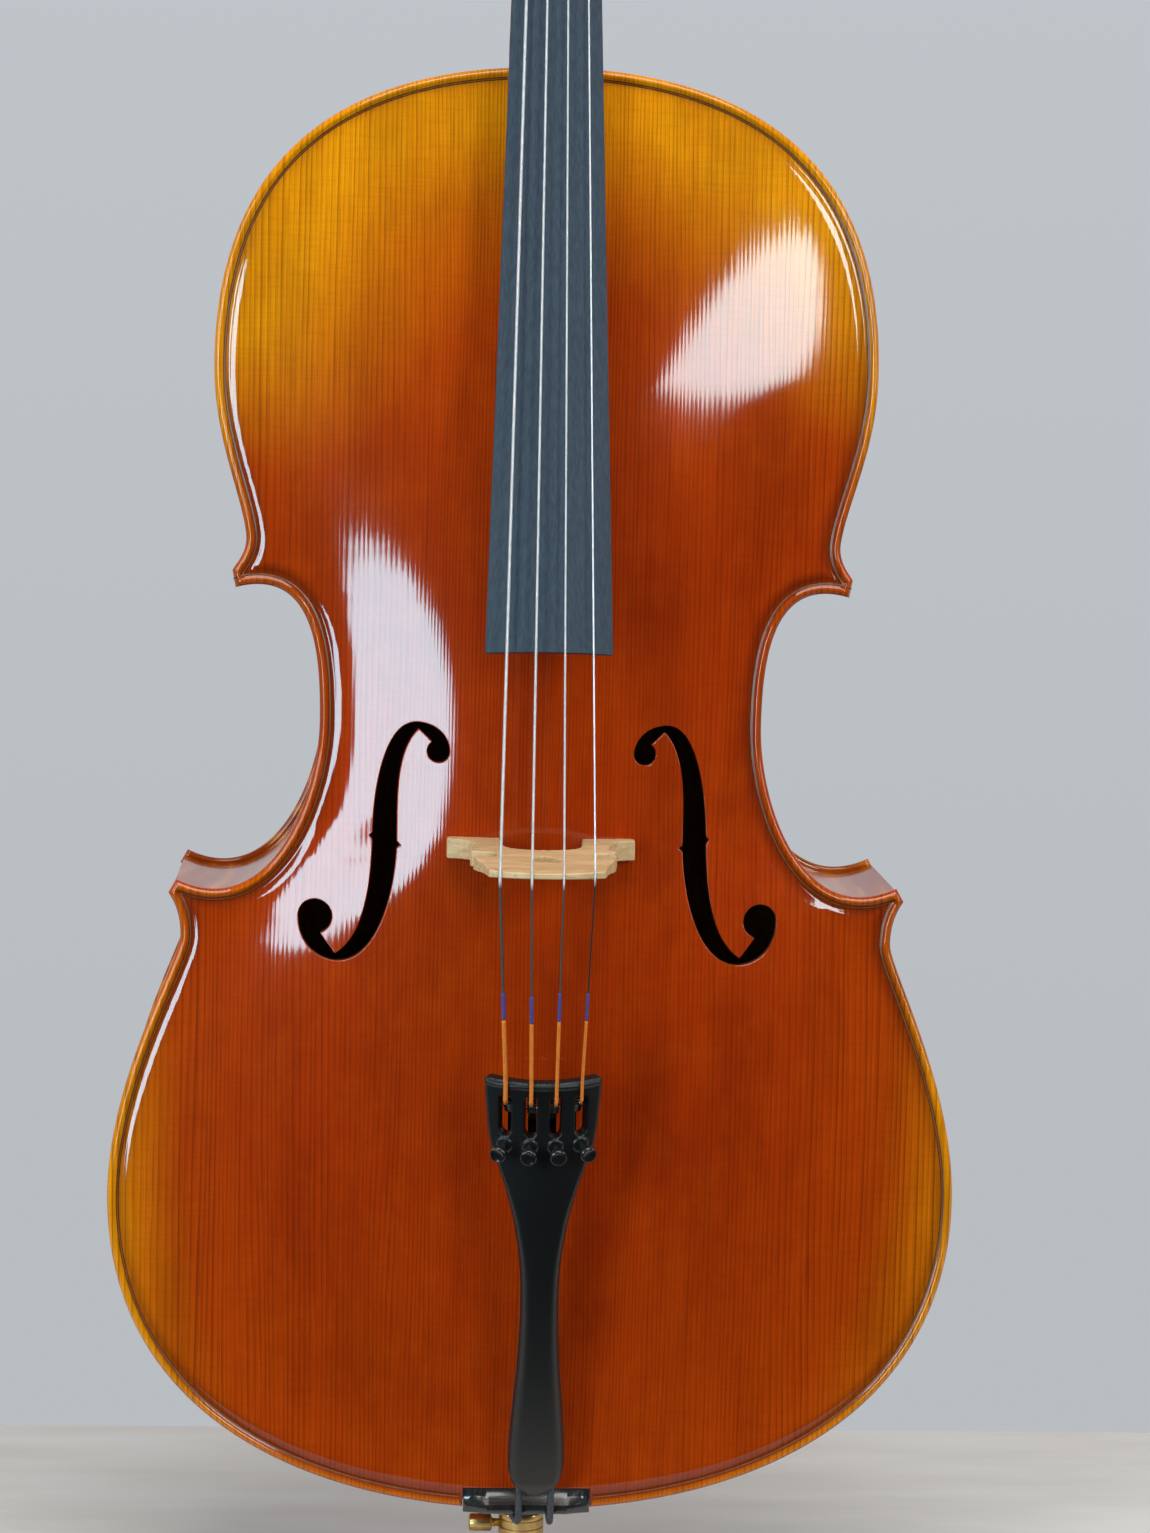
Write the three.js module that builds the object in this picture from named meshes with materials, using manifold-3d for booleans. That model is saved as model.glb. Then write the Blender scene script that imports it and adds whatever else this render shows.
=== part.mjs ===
// A full-size cello, modelled in millimetres as an assembly of its separate pieces.
//
// Frame: +X to the treble side, +Y from the front plate to the back plate, +Z up along the
// instrument. The origin is the centre of the endpin's foot, with the endpin pushed in.
//
// Most pieces are drawn in the body frame, whose z is 0 at the body's lower end and whose y is 0
// in the middle of the front plate's edge. Three groups carry the rest: the instrument group
// moves the body frame to the part's frame, and the neck and tail groups are tilted inside it.

import * as THREE from "three";
import { mergeVertices } from "three/addons/utils/BufferGeometryUtils.js";
import Module from "manifold-3d";

const wasm = await Module();
wasm.setup();

// ---------------------------------------------------------------- driving dimensions

const BODY_LENGTH = 757;
const RIB_HEIGHT = 117.2;
const EDGE_THICKNESS = 4.8; // both plates, at the edge and all through
const OVERHANG = 3; // of the plates past the ribs
const RIB_THICKNESS = 1.6;
const ARCH_HEIGHT = 24;
const GAP = 0.3; // between glued or touching pieces

const NECK_LENGTH = 284.3; // along the neck, from the body's edge to the nut
const NECK_TILT = 10; // degrees back from the body's plane
const BOARD_LENGTH = 584.3;
const BOARD_OVERSTAND = 21; // of the board's underside over the front plate's edge
const BOARD_HALF_WIDTH_NUT = 15.8;
const BOARD_HALF_WIDTH_END = 32;
const BOARD_RADIUS = 62;
const BOARD_EDGE = 5; // the board's thickness along its edges

const STOP_Z = 357; // the line through the inner notches of the sound holes
const BRIDGE_HEIGHT = 92;
const BRIDGE_FOOT_DEPTH = 11;
const BRIDGE_CROWN_DEPTH = 2.7;
const BRIDGE_BACK_Z = STOP_Z - 4.7; // the bridge's upright face, towards the tailpiece
const CROWN_RADIUS = 60;

const STRINGS = [
  { name: "c", radius: 0.8, atNut: -11.2, atBridge: -23.5, atTail: -19.3 },
  { name: "g", radius: 0.66, atNut: -3.7, atBridge: -7.9, atTail: -6.4 },
  { name: "d", radius: 0.54, atNut: 3.7, atBridge: 7.9, atTail: 6.4 },
  { name: "a", radius: 0.44, atNut: 11.2, atBridge: 23.5, atTail: 19.3 },
];

const TAIL_LENGTH = 244;
const TAIL_TILT = 16.8; // degrees, the slope of the strings behind the bridge
const TAIL_SWING = -0.6; // degrees, the tailpiece hangs a little askew
const SLOT = { from: 213.5, to: 236, width: 6.4 };
const TUNER_AT = 209; // along the tailpiece, where the fine tuners' screws stand
const TAIL_RADIUS = 62; // of the tailpiece's crown, across

const ROD_RADIUS = 5;
const ROD_LENGTH = 500;
const COLLAR_TOP = -19.3;
const COLLAR_BOTTOM = -44;
const CLAMP_Z = -26;
const FOOT_Z = -75; // the endpin's foot, in the body frame

const FRONT_OUTER = -EDGE_THICKNESS / 2; // y of the front plate's outer face, at its edge
const FRONT_INNER = EDGE_THICKNESS / 2;
const BACK_INNER = FRONT_INNER + RIB_HEIGHT;
const BACK_OUTER = BACK_INNER + EDGE_THICKNESS;
const MIDDLE_Y = (FRONT_INNER + BACK_INNER) / 2; // the endpin's axis

// ---------------------------------------------------------------- materials

const finish = (color, roughness, metalness = 0) =>
  new THREE.MeshStandardMaterial({ color, roughness, metalness });

const SPRUCE = finish(0xb4500f, 0.25);
const MAPLE = finish(0xa8480f, 0.25);
const RAW_WOOD = finish(0xd9b889, 0.7);
const BRIDGE_MAPLE = finish(0xd8b174, 0.6);
const EBONY = finish(0x23262a, 0.35);
const BLACK_RESIN = finish(0x17181a, 0.45);
const BLACK_METAL = finish(0x101012, 0.25, 0.6);
const STEEL = finish(0xc9ccd0, 0.25, 1);
const BRASS = finish(0xc9a256, 0.3, 1);
const BLACK_CORD = finish(0x1b1c1e, 0.6);
const RUBBER = finish(0x141414, 0.85);

// ---------------------------------------------------------------- solids

/** A closed geometry as a manifold solid. */
function solid(geometry) {
  const bare = geometry.index ? geometry.toNonIndexed() : geometry.clone();
  bare.deleteAttribute("normal");
  bare.deleteAttribute("uv");
  const merged = mergeVertices(bare, 1e-4);
  return new wasm.Manifold(
    new wasm.Mesh({
      numProp: 3,
      vertProperties: merged.attributes.position.array,
      triVerts: new Uint32Array(merged.index.array),
    }),
  );
}

/** A manifold solid as a geometry. */
function geometryOf(made) {
  const mesh = made.getMesh();
  const positions = new Float32Array(mesh.numVert * 3);
  for (let i = 0; i < mesh.numVert; i++) {
    const at = i * mesh.numProp;
    positions.set(mesh.vertProperties.subarray(at, at + 3), i * 3);
  }
  return new THREE.BufferGeometry()
    .setAttribute("position", new THREE.BufferAttribute(positions, 3))
    .setIndex(new THREE.BufferAttribute(mesh.triVerts, 1));
}

/** A flat outline in X and Z, as points, made solid between two values of y. */
function slab(points, yFrom, yTo) {
  const shape = points instanceof THREE.Shape ? points : new THREE.Shape(points);
  const geometry = new THREE.ExtrudeGeometry(shape, {
    depth: yTo - yFrom,
    bevelEnabled: false,
    curveSegments: 8,
  });
  return geometry.rotateX(Math.PI / 2).translate(0, yTo, 0);
}

/** An outline in Y and Z, made solid between two values of x. */
function sidewall(points, xFrom, xTo) {
  const shape = new THREE.Shape(points);
  const geometry = new THREE.ExtrudeGeometry(shape, { depth: xTo - xFrom, bevelEnabled: false });
  const turn = new THREE.Matrix4().set(0, 0, 1, 0, 1, 0, 0, 0, 0, 1, 0, 0, 0, 0, 0, 1);
  return geometry.applyMatrix4(turn).translate(xFrom, 0, 0);
}

/** A box from its lowest to its highest corner. */
function block(low, high) {
  const size = high.map((h, i) => h - low[i]);
  const middle = high.map((h, i) => (h + low[i]) / 2);
  return new THREE.BoxGeometry(...size).translate(...middle);
}

/** A closed skin, facing out, through flat star-shaped rings of equally many points. */
function loft(rings) {
  const count = rings[0].length;
  const points = rings.flat();
  const index = [];
  for (let r = 0; r + 1 < rings.length; r++) {
    for (let i = 0; i < count; i++) {
      const a = r * count + i;
      const b = r * count + ((i + 1) % count);
      index.push(a, b, b + count, a, b + count, a + count);
    }
  }
  for (const [ring, flip] of [[0, true], [rings.length - 1, false]]) {
    const middle = points.length;
    const centre = new THREE.Vector3();
    rings[ring].forEach((p) => centre.addScaledVector(p, 1 / count));
    points.push(centre);
    for (let i = 0; i < count; i++) {
      const a = ring * count + i;
      const b = ring * count + ((i + 1) % count);
      index.push(...(flip ? [middle, b, a] : [middle, a, b]));
    }
  }
  const volume = index.reduce((sum, _, i) => {
    if (i % 3) return sum;
    const [a, b, c] = index.slice(i, i + 3).map((k) => points[k]);
    return sum + a.dot(b.clone().cross(c));
  }, 0);
  if (volume < 0) index.reverse();
  return new THREE.BufferGeometry().setFromPoints(points).setIndex(index);
}

/** A round tube through points, its rings square to the path. */
function tube(points, radius, sides) {
  const reference = new THREE.Vector3(1, 0, 0);
  const rings = points.map((point, k) => {
    const before = points[Math.max(k - 1, 0)];
    const after = points[Math.min(k + 1, points.length - 1)];
    const along = after.clone().sub(before).normalize();
    const v = along.clone().cross(reference).normalize();
    const u = v.clone().cross(along);
    return Array.from({ length: sides }, (_, i) => {
      const angle = (2 * Math.PI * i) / sides;
      return point
        .clone()
        .addScaledVector(u, radius * Math.cos(angle))
        .addScaledVector(v, radius * Math.sin(angle));
    });
  });
  return loft(rings);
}

/** A turned piece on the Z axis, from [radius, z] pairs that start and end on the axis. */
function turned(profile, sides = 20) {
  return new THREE.LatheGeometry(profile.map(([r, z]) => new THREE.Vector2(r, z)), sides)
    .rotateX(Math.PI / 2);
}

/** A cylinder between two points. */
function rod(from, to, radius, sides = 14) {
  const [a, b] = [new THREE.Vector3(...from), new THREE.Vector3(...to)];
  const along = b.clone().sub(a);
  const turn = new THREE.Quaternion().setFromUnitVectors(
    new THREE.Vector3(0, 1, 0),
    along.clone().normalize(),
  );
  return new THREE.CylinderGeometry(radius, radius, along.length(), sides)
    .applyQuaternion(turn)
    .translate(...a.add(b).multiplyScalar(0.5).toArray());
}

const v2 = (x, y) => new THREE.Vector2(x, y);
const v3 = (x, y, z) => new THREE.Vector3(x, y, z);
const radians = THREE.MathUtils.degToRad;

/** A smooth curve through [at, value] pairs, read at any value of at. */
function table(pairs) {
  return (at) => {
    const last = pairs.length - 1;
    if (at <= pairs[0][0]) return pairs[0][1];
    if (at >= pairs[last][0]) return pairs[last][1];
    const i = pairs.findIndex((pair, k) => k < last && at <= pairs[k + 1][0]);
    const t = (at - pairs[i][0]) / (pairs[i + 1][0] - pairs[i][0]);
    const value = (k) => pairs[Math.min(Math.max(k, 0), last)][1];
    const [a, b, c, d] = [value(i - 1), value(i), value(i + 1), value(i + 2)];
    return b + 0.5 * t * (c - a + t * (2 * a - 5 * b + 4 * c - d + t * (3 * (b - c) + d - a)));
  };
}

// ---------------------------------------------------------------- the body's outline

/** The treble half of the outline as named stretches, from the lower end to the upper end. */
const bends = {
  lowerBout: [
    [[0, 0], [124, 0], [223, 55], [223, 168], 14],
    [[223, 168], [223, 230], [186, 293], [186, 306], 9],
    [[186, 306], [186, 315], [188, 322], [192.5, 328.5], 4],
  ],
  middleBout: [
    [[188.5, 335.5], [139.5, 312.5], [115, 379], [115, 420], 12],
    [[115, 420], [115, 454], [118.5, 499.5], [159.3, 488], 10],
  ],
  upperBout: [
    [[161, 497], [160, 499.5], [154, 505], [154, 514], 4],
    [[154, 514], [156, 535], [171.5, 564], [171.5, 603], 8],
    [[171.5, 603], [171.5, 713], [103, BODY_LENGTH], [0, BODY_LENGTH], 14],
  ],
};

/** The points of one bout, each with the direction that leads into the body. */
function boutPoints(name) {
  const points = [];
  for (const [a, b, c, d, steps] of bends[name]) {
    const curve = new THREE.CubicBezierCurve(v2(...a), v2(...b), v2(...c), v2(...d));
    for (let i = points.length ? 1 : 0; i <= steps; i++) {
      const at = curve.getPoint(i / steps);
      const along = curve.getTangent(i / steps);
      points.push({ at, inward: v2(-along.y, along.x) });
    }
  }
  return points;
}

const bouts = Object.fromEntries(Object.keys(bends).map((name) => [name, boutPoints(name)]));
const trebleHalf = Object.values(bouts).flat().map(({ at }) => at);
const bassHalf = trebleHalf.slice(1, -1).reverse().map((p) => v2(-p.x, p.y));
const outline = [...trebleHalf, ...bassHalf];

/** A strip that follows a bout, between two distances inside its outline. */
function strip(points, outer, inner) {
  const shift = (distance) =>
    points.map(({ at, inward }) => at.clone().addScaledVector(inward, distance));
  return [...shift(outer), ...shift(inner).reverse()];
}

const mirror = (points) => points.map((p) => v2(-p.x, p.y)).reverse();
const onSide = (points, side) => (side > 0 ? points : mirror(points));
const SIDES = [["treble", 1], ["bass", -1]];

// ---------------------------------------------------------------- arching and plates

/** Half the width of the arched part at each height: inside the edge, and smooth at corners. */
const archHalfWidth = table([
  [8, 30], [20, 105], [40, 150], [70, 183], [110, 206], [168, 215], [230, 205], [275, 188],
  [300, 172], [320, 156], [335, 141], [350, 127], [370, 114], [395, 108], [420, 107],
  [450, 108.5], [470, 112.5], [490, 128], [520, 143.5], [560, 156], [603, 163.5],
  [650, 157], [690, 141], [720, 115], [740, 80], [749, 30],
]);

/** The share of the arch's full height over a point of the plate. */
function arch(x, z) {
  const along = Math.min(1, Math.abs((z - 378) / 371));
  const across = Math.min(1, Math.abs(x) / archHalfWidth(z));
  return (1 - along ** 2.6) ** 1.4 * (1 - across ** 2.1) ** 1.6;
}

const frontFace = (x, z) => FRONT_OUTER - ARCH_HEIGHT * arch(x, z);
const backFace = (x, z) => BACK_OUTER + ARCH_HEIGHT * arch(x, z);

const GRID = { half: 225, columns: 14, low: -20, high: 800, rows: 22 };

/** A solid over the whole body's plan, between two surfaces given as y over x and z. */
function terrain(frontY, backY) {
  const { half, columns, low, high, rows } = GRID;
  const points = [];
  const index = [];
  for (const surface of [frontY, backY]) {
    for (let r = 0; r <= rows; r++) {
      for (let c = 0; c <= columns; c++) {
        const x = -half + (2 * half * c) / columns;
        const z = low + ((high - low) * r) / rows;
        points.push(v3(x, surface(x, z), z));
      }
    }
  }
  const layer = (rows + 1) * (columns + 1);
  const id = (c, r, side) => side * layer + r * (columns + 1) + c;
  const quad = (a, b, c, d) => index.push(a, b, c, a, c, d);
  for (let r = 0; r < rows; r++) {
    for (let c = 0; c < columns; c++) {
      quad(id(c, r, 0), id(c + 1, r, 0), id(c + 1, r + 1, 0), id(c, r + 1, 0));
      quad(id(c, r, 1), id(c, r + 1, 1), id(c + 1, r + 1, 1), id(c + 1, r, 1));
    }
  }
  for (let c = 0; c < columns; c++) {
    quad(id(c, 0, 0), id(c, 0, 1), id(c + 1, 0, 1), id(c + 1, 0, 0));
    quad(id(c + 1, rows, 0), id(c + 1, rows, 1), id(c, rows, 1), id(c, rows, 0));
  }
  for (let r = 0; r < rows; r++) {
    quad(id(0, r + 1, 0), id(0, r + 1, 1), id(0, r, 1), id(0, r, 0));
    quad(id(columns, r, 0), id(columns, r, 1), id(columns, r + 1, 1), id(columns, r + 1, 0));
  }
  return solid(new THREE.BufferGeometry().setFromPoints(points).setIndex(index));
}

/** The sound hole of the treble side, two round eyes joined by a stem. */
function soundHole() {
  const hole = new THREE.Shape();
  hole.moveTo(63.7, 417.6);
  hole.lineTo(57, 411.4);
  hole.absarc(53.4, 406.2, 5.8, radians(58), radians(-180), true);
  hole.bezierCurveTo(47.6, 414, 54.5, 421, 64.5, 421);
  hole.bezierCurveTo(81, 421, 86.5, 386, 86.8, 360);
  hole.bezierCurveTo(87, 330, 92, 308, 105.4, 299.6);
  hole.lineTo(112.8, 309.2);
  hole.absarc(116, 318.4, 8.8, radians(-108), radians(-360), true);
  hole.bezierCurveTo(124.8, 305, 115.5, 296, 104.5, 296);
  hole.bezierCurveTo(86, 296, 75.5, 325, 74.3, 357);
  hole.bezierCurveTo(74.3, 380, 76, 405, 63.7, 417.6);
  return hole.getPoints(7).slice(0, -1);
}

const NECK_SLOT = { half: 22.6, z: 743.7 }; // the mortise in the front plate
const SADDLE = { half: 33.5, depth: 11.7, flatHalf: 21, height: 7.6 };

function frontPlate() {
  const cuts = [
    ...SIDES.map(([, side]) => slab(onSide(soundHole(), side), -60, 30)),
    block([-NECK_SLOT.half, -60, NECK_SLOT.z], [NECK_SLOT.half, 30, BODY_LENGTH + 10]),
    block([-SADDLE.half - GAP, -60, -10], [SADDLE.half + GAP, 30, SADDLE.depth + GAP]),
  ];
  const sheet = terrain(frontFace, (x, z) => frontFace(x, z) + EDGE_THICKNESS);
  return cuts.reduce(
    (plate, cut) => plate.subtract(solid(cut)),
    sheet.intersect(solid(slab(outline, -60, 30))),
  );
}

/** The back, with the button that carries the neck's heel. */
function backPlate() {
  const button = new THREE.Shape();
  button.moveTo(14.5, BODY_LENGTH - 6);
  button.absarc(0, BODY_LENGTH + 1, 14.5, 0, Math.PI, false);
  button.lineTo(-14.5, BODY_LENGTH - 6);
  const plan = solid(slab(outline, 90, 160)).add(solid(slab(button, 90, 160)));
  return terrain((x, z) => backFace(x, z) - EDGE_THICKNESS, backFace).intersect(plan);
}

/** What lies in front of the front plate's inner face, or of its outer face, with a gap. */
const overFrontInner = terrain(() => -80, (x, z) => frontFace(x, z) + EDGE_THICKNESS + GAP);
const underFrontOuter = terrain((x, z) => frontFace(x, z) - GAP, () => 60);
const behindBackInner = terrain((x, z) => backFace(x, z) - EDGE_THICKNESS - GAP, () => 200);

// ---------------------------------------------------------------- ribs, linings and blocks

const RIB_INNER = OVERHANG + RIB_THICKNESS;
const LINING_OUTER = RIB_INNER + GAP;
const LINING = { thickness: 3, height: 18 };
const BOUT_LABELS = { lowerBout: "lower", middleBout: "middle", upperBout: "upper" };
const TONGUE = { front: -19, back: BACK_INNER - GAP, halfFront: 20.5, halfBack: 14, low: 744 };
const BORE_RADIUS = 12.6; // of the hole for the endpin's plug

/** The tapered tongue of the neck, and the mortise for it when it is made a little bigger. */
function tongue(margin, low, high) {
  const section = (y, half) => {
    const x = half + margin;
    return [v3(x, y, low), v3(x, y, high), v3(-x, y, high), v3(-x, y, low)];
  };
  return loft([section(TONGUE.front, TONGUE.halfFront), section(TONGUE.back, TONGUE.halfBack)]);
}

const mortise = solid(tongue(GAP, TONGUE.low - GAP, BODY_LENGTH + 20));
const endpinBore = solid(rod([0, MIDDLE_Y, -10], [0, MIDDLE_Y, 60], BORE_RADIUS, 20));
const centreSeam = solid(block([-GAP / 2, -10, -10], [GAP / 2, 140, 800]));

/** The three ribs of one side. The tips leave room for each other at the corners. */
function ribs(name, side) {
  return Object.entries(bouts).map(([bout, points]) => {
    const first = bout === "lowerBout" ? 0 : 1;
    const last = bout === "upperBout" ? points.length : points.length - 1;
    const path = strip(points.slice(first, last), OVERHANG, RIB_INNER);
    const blank = solid(slab(onSide(path, side), FRONT_INNER, BACK_INNER));
    const cut = [mortise, endpinBore, centreSeam].reduce((rib, tool) => rib.subtract(tool), blank);
    return [`${BOUT_LABELS[bout]}_rib_${name}`, geometryOf(cut)];
  });
}

/** Where the linings of each bout start and end, as heights on the outline. */
const liningSpan = {
  lowerBout: ({ at }) => at.x > 44 && at.y < 288,
  middleBout: ({ at }) => at.y > 352 && at.y < 470 && at.x < 131,
  upperBout: ({ at }) => at.y > 536 && at.x > 44,
};

/** The front and back linings of one side, glued inside the ribs between the blocks. */
function linings(name, side) {
  const levels = [
    ["front", FRONT_INNER, FRONT_INNER + LINING.height],
    ["back", BACK_INNER - LINING.height, BACK_INNER],
  ];
  return Object.entries(liningSpan).flatMap(([bout, inSpan]) => {
    const path = strip(bouts[bout].filter(inSpan), LINING_OUTER, LINING_OUTER + LINING.thickness);
    return levels.map(([level, from, to]) => [
      `${BOUT_LABELS[bout]}_lining_${level}_${name}`,
      slab(onSide(path, side), from, to),
    ]);
  });
}

/** A block inside the ribs: a plan outline, less the ribs and what they leave for their glue. */
function insideRibs(plan, side = 1) {
  const raw = solid(slab(plan, FRONT_INNER, BACK_INNER));
  const inside = solid(slab(outline, FRONT_INNER - 1, BACK_INNER + 1));
  const borders = Object.values(bouts).flatMap((points) => {
    const path = strip(points, -2, LINING_OUTER);
    return side === 0 ? [path, mirror(path)] : [path];
  });
  const cut = borders.reduce(
    (left, path) => left.subtract(solid(slab(path, FRONT_INNER - 1, BACK_INNER + 1))),
    raw.intersect(inside),
  );
  return cut.decompose().sort((a, b) => b.volume() - a.volume())[0];
}

const cornerPlans = {
  lower: [v2(181, 290), v2(200, 320), v2(185, 345), v2(136, 345)],
  upper: [v2(119, 478), v2(150, 480), v2(165, 500), v2(151.5, 531)],
};

function cornerBlock(level, side) {
  const made = insideRibs(cornerPlans[level]);
  return side > 0 ? geometryOf(made) : geometryOf(made.mirror([1, 0, 0]));
}

function neckBlock() {
  const plan = [v2(-42, 722), v2(42, 722), v2(42, 760), v2(-42, 760)];
  return geometryOf(insideRibs(plan, 0).subtract(mortise));
}

function endBlock() {
  const plan = [v2(-42, -5), v2(42, -5), v2(42, 34), v2(-42, 34)];
  return geometryOf(insideRibs(plan, 0).subtract(endpinBore));
}

/** The bar glued under the bass side of the front, cut to the arch. */
function bassBar() {
  const profile = [v2(-30, 95), v2(6, 95), v2(1, 250), v2(1, 480), v2(6, 665), v2(-30, 665)];
  const bar = solid(sidewall(profile, -27.5, -16.5));
  return geometryOf(bar.subtract(overFrontInner));
}

/** The dowel that stands between the plates behind the bridge's treble foot. */
function soundPost() {
  const post = solid(rod([27, -30, 338], [27, 160, 338], 5.5, 12));
  return geometryOf(post.subtract(overFrontInner).subtract(behindBackInner));
}

// ---------------------------------------------------------------- saddle and bridge

/** The ebony sill that lifts the tail cord clear of the front plate's edge. */
function saddle() {
  const { half, depth, flatHalf, height } = SADDLE;
  const section = (x, top) => [
    v3(x, FRONT_INNER, -0.8), v3(x, FRONT_OUTER - top * 0.5, -0.8),
    v3(x, FRONT_OUTER - top, 1.2), v3(x, FRONT_OUTER - top, 4.5),
    v3(x, FRONT_OUTER - top * 0.35, 8), v3(x, FRONT_OUTER - 0.4, depth),
    v3(x, FRONT_INNER, depth),
  ];
  return loft([
    section(-half, 1), section(-flatHalf, height), section(flatHalf, height), section(half, 1),
  ]);
}

/** The bridge's treble half, seen from the front: x, and height over the plate. */
const bridgeHalf = [
  [0, 34], [10, 33], [17, 29], [19.5, 24], [20.5, 12], [21.5, 1], [21.5, -6], [48.4, -6],
  [48.4, 4], [43, 6.5], [37.5, 11], [34.5, 20], [33.5, 30], [36.5, 35], [36.5, 40],
  [27, 42], [24, 47], [26, 53], [35, 51.5], [35.5, 56], [32, 68], [29.5, 82],
];

function crownDepth(x) {
  return (x * x) / (2 * CROWN_RADIUS);
}

const bridgeBase = frontFace(0, STOP_Z); // y of the plate under the bridge
const crownY = (x) => bridgeBase - BRIDGE_HEIGHT + crownDepth(x);

function bridge() {
  const crown = [22, 14, 7, 0].map((x) => [x, BRIDGE_HEIGHT - crownDepth(x)]);
  const half = [...bridgeHalf, ...crown];
  const points = [...half, ...half.slice(1, -1).reverse().map(([x, h]) => [-x, h])];
  const heart = new THREE.Path();
  heart.moveTo(0, 50);
  heart.bezierCurveTo(4, 54, 8.5, 58, 7.5, 63);
  heart.bezierCurveTo(6, 68, 1, 67, 0, 62);
  heart.bezierCurveTo(-1, 67, -6, 68, -7.5, 63);
  heart.bezierCurveTo(-8.5, 58, -4, 54, 0, 50);
  const shape = new THREE.Shape(points.map(([x, h]) => v2(x, h)));
  shape.holes.push(new THREE.Path(heart.getPoints(4).slice(0, -1)));
  const flat = new THREE.ExtrudeGeometry(shape, { depth: 30, bevelEnabled: false });
  const stand = new THREE.Matrix4().set(1, 0, 0, 0, 0, -1, 0, bridgeBase, 0, 0, -1, 0, 0, 0, 0, 1);
  const blank = solid(flat.applyMatrix4(stand).translate(0, 0, BRIDGE_BACK_Z + 30));
  const side = [
    v2(20, BRIDGE_BACK_Z), v2(20, BRIDGE_BACK_Z + BRIDGE_FOOT_DEPTH + 1),
    v2(bridgeBase - 4, BRIDGE_BACK_Z + BRIDGE_FOOT_DEPTH),
    v2(bridgeBase - BRIDGE_HEIGHT - 5, BRIDGE_BACK_Z + BRIDGE_CROWN_DEPTH),
    v2(bridgeBase - BRIDGE_HEIGHT - 5, BRIDGE_BACK_Z),
  ];
  const thinned = blank.intersect(solid(sidewall(side, -60, 60)));
  return geometryOf(thinned.subtract(underFrontOuter));
}

// ---------------------------------------------------------------- neck, fingerboard and nut

/** The neck's frame: z runs up the neck from the body's edge, y away from the board. */
const neckTilt = radians(NECK_TILT);
const neckGroup = new THREE.Group();
neckGroup.position.set(0, FRONT_OUTER - BOARD_OVERSTAND, BODY_LENGTH);
neckGroup.rotation.x = -neckTilt;
neckGroup.updateMatrix();

/** From the body frame to the neck's frame. */
const toNeckFrame = neckGroup.matrix.clone().invert();
const toNeck = (point) => point.clone().applyMatrix4(toNeckFrame);

const NUT_Z = NECK_LENGTH;
const NUT_DEPTH = 6.7;

const boardHalfWidth = (s) => {
  const share = (NECK_LENGTH - s) / BOARD_LENGTH;
  return THREE.MathUtils.lerp(BOARD_HALF_WIDTH_NUT, BOARD_HALF_WIDTH_END, share);
};
const boardTop = (x, s) => {
  const half = boardHalfWidth(s);
  const drop = Math.sqrt(BOARD_RADIUS ** 2 - x * x) - Math.sqrt(BOARD_RADIUS ** 2 - half * half);
  return -BOARD_EDGE - drop;
};

/** A piece with the board's curved top, from one station to another. */
function curvedTop(stations, rise, bottom, shrink = 0) {
  const steps = 10;
  return loft(
    stations.map((s) => {
      const half = boardHalfWidth(s) - shrink;
      const top = Array.from({ length: steps + 1 }, (_, i) => {
        const x = half - (2 * half * i) / steps;
        return v3(x, boardTop(x, s) - rise, s);
      });
      return [...top, v3(-half, bottom(s), s), v3(half, bottom(s), s)];
    }),
  );
}

function fingerboard() {
  const from = NECK_LENGTH - BOARD_LENGTH;
  const board = solid(curvedTop([from, NECK_LENGTH - GAP], 0, () => -GAP));
  const hollow = [from - 5, -25].map((s) => {
    const half = boardHalfWidth(s) - 7;
    return Array.from({ length: 9 }, (_, i) => {
      const x = half - (2 * half * i) / 8;
      return v3(x, i === 0 || i === 8 ? 5 : -5.5 * Math.sin((Math.PI * i) / 8), s);
    });
  });
  return geometryOf(board.subtract(solid(loft(hollow))));
}

const nut = () => curvedTop([NUT_Z + GAP, NUT_Z + NUT_DEPTH], 1, () => -GAP);

const shaftHalfWidth = (s) => boardHalfWidth(s) + 0.15;

/** The round of the neck under the board. */
function shaft() {
  const depth = table([[-6, 26], [30, 24.5], [120, 22.5], [260, 20.5], [300, 21]]);
  const stations = [-4, 30, 80, 140, 200, 250, 293];
  return loft(
    stations.map((s) =>
      Array.from({ length: 13 }, (_, i) => {
        const angle = (Math.PI * i) / 12;
        return v3(shaftHalfWidth(s) * Math.cos(angle), depth(s) * Math.sin(angle) ** 0.8, s);
      }).reverse(),
    ),
  );
}

/** The heel, from the shaft to the button: [y, height over the ribs, half width] in body frame. */
function heel() {
  const bottom = BODY_LENGTH - OVERHANG + 2 * GAP;
  const levels = [
    [-12, 50, 21.6], [2, 47, 21.3], [10, 38, 20.8], [20, 28, 20.1], [38, 21.5, 18.8],
    [75, 18, 16.4], [BACK_INNER - GAP, 17.4, 14.4],
  ];
  return loft(
    levels.map(([y, height, half]) =>
      Array.from({ length: 13 }, (_, i) => {
        const angle = (Math.PI * i) / 12;
        const up = height * Math.sin(angle) ** 0.85;
        return toNeck(v3(half * Math.cos(angle), y, bottom + up));
      }).reverse(),
    ),
  );
}

// ---------------------------------------------------------------- pegbox, scroll and pegs

const PEGBOX = { from: 288, to: 432, wall: 7.5, halfFrom: 21, halfTo: 15 };
const pegboxFront = table([[288, 0], [300, 2], [340, 10.5], [390, 21], [425, 27], [440, 28]]);
const pegboxBack = table([
  [280, 20.5], [290, 27], [302, 38], [320, 47], [345, 52.5], [380, 55], [415, 54], [440, 52.5],
]);
const pegboxHalf = (s) =>
  THREE.MathUtils.mapLinear(s, PEGBOX.from, PEGBOX.to, PEGBOX.halfFrom, PEGBOX.halfTo);

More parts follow.
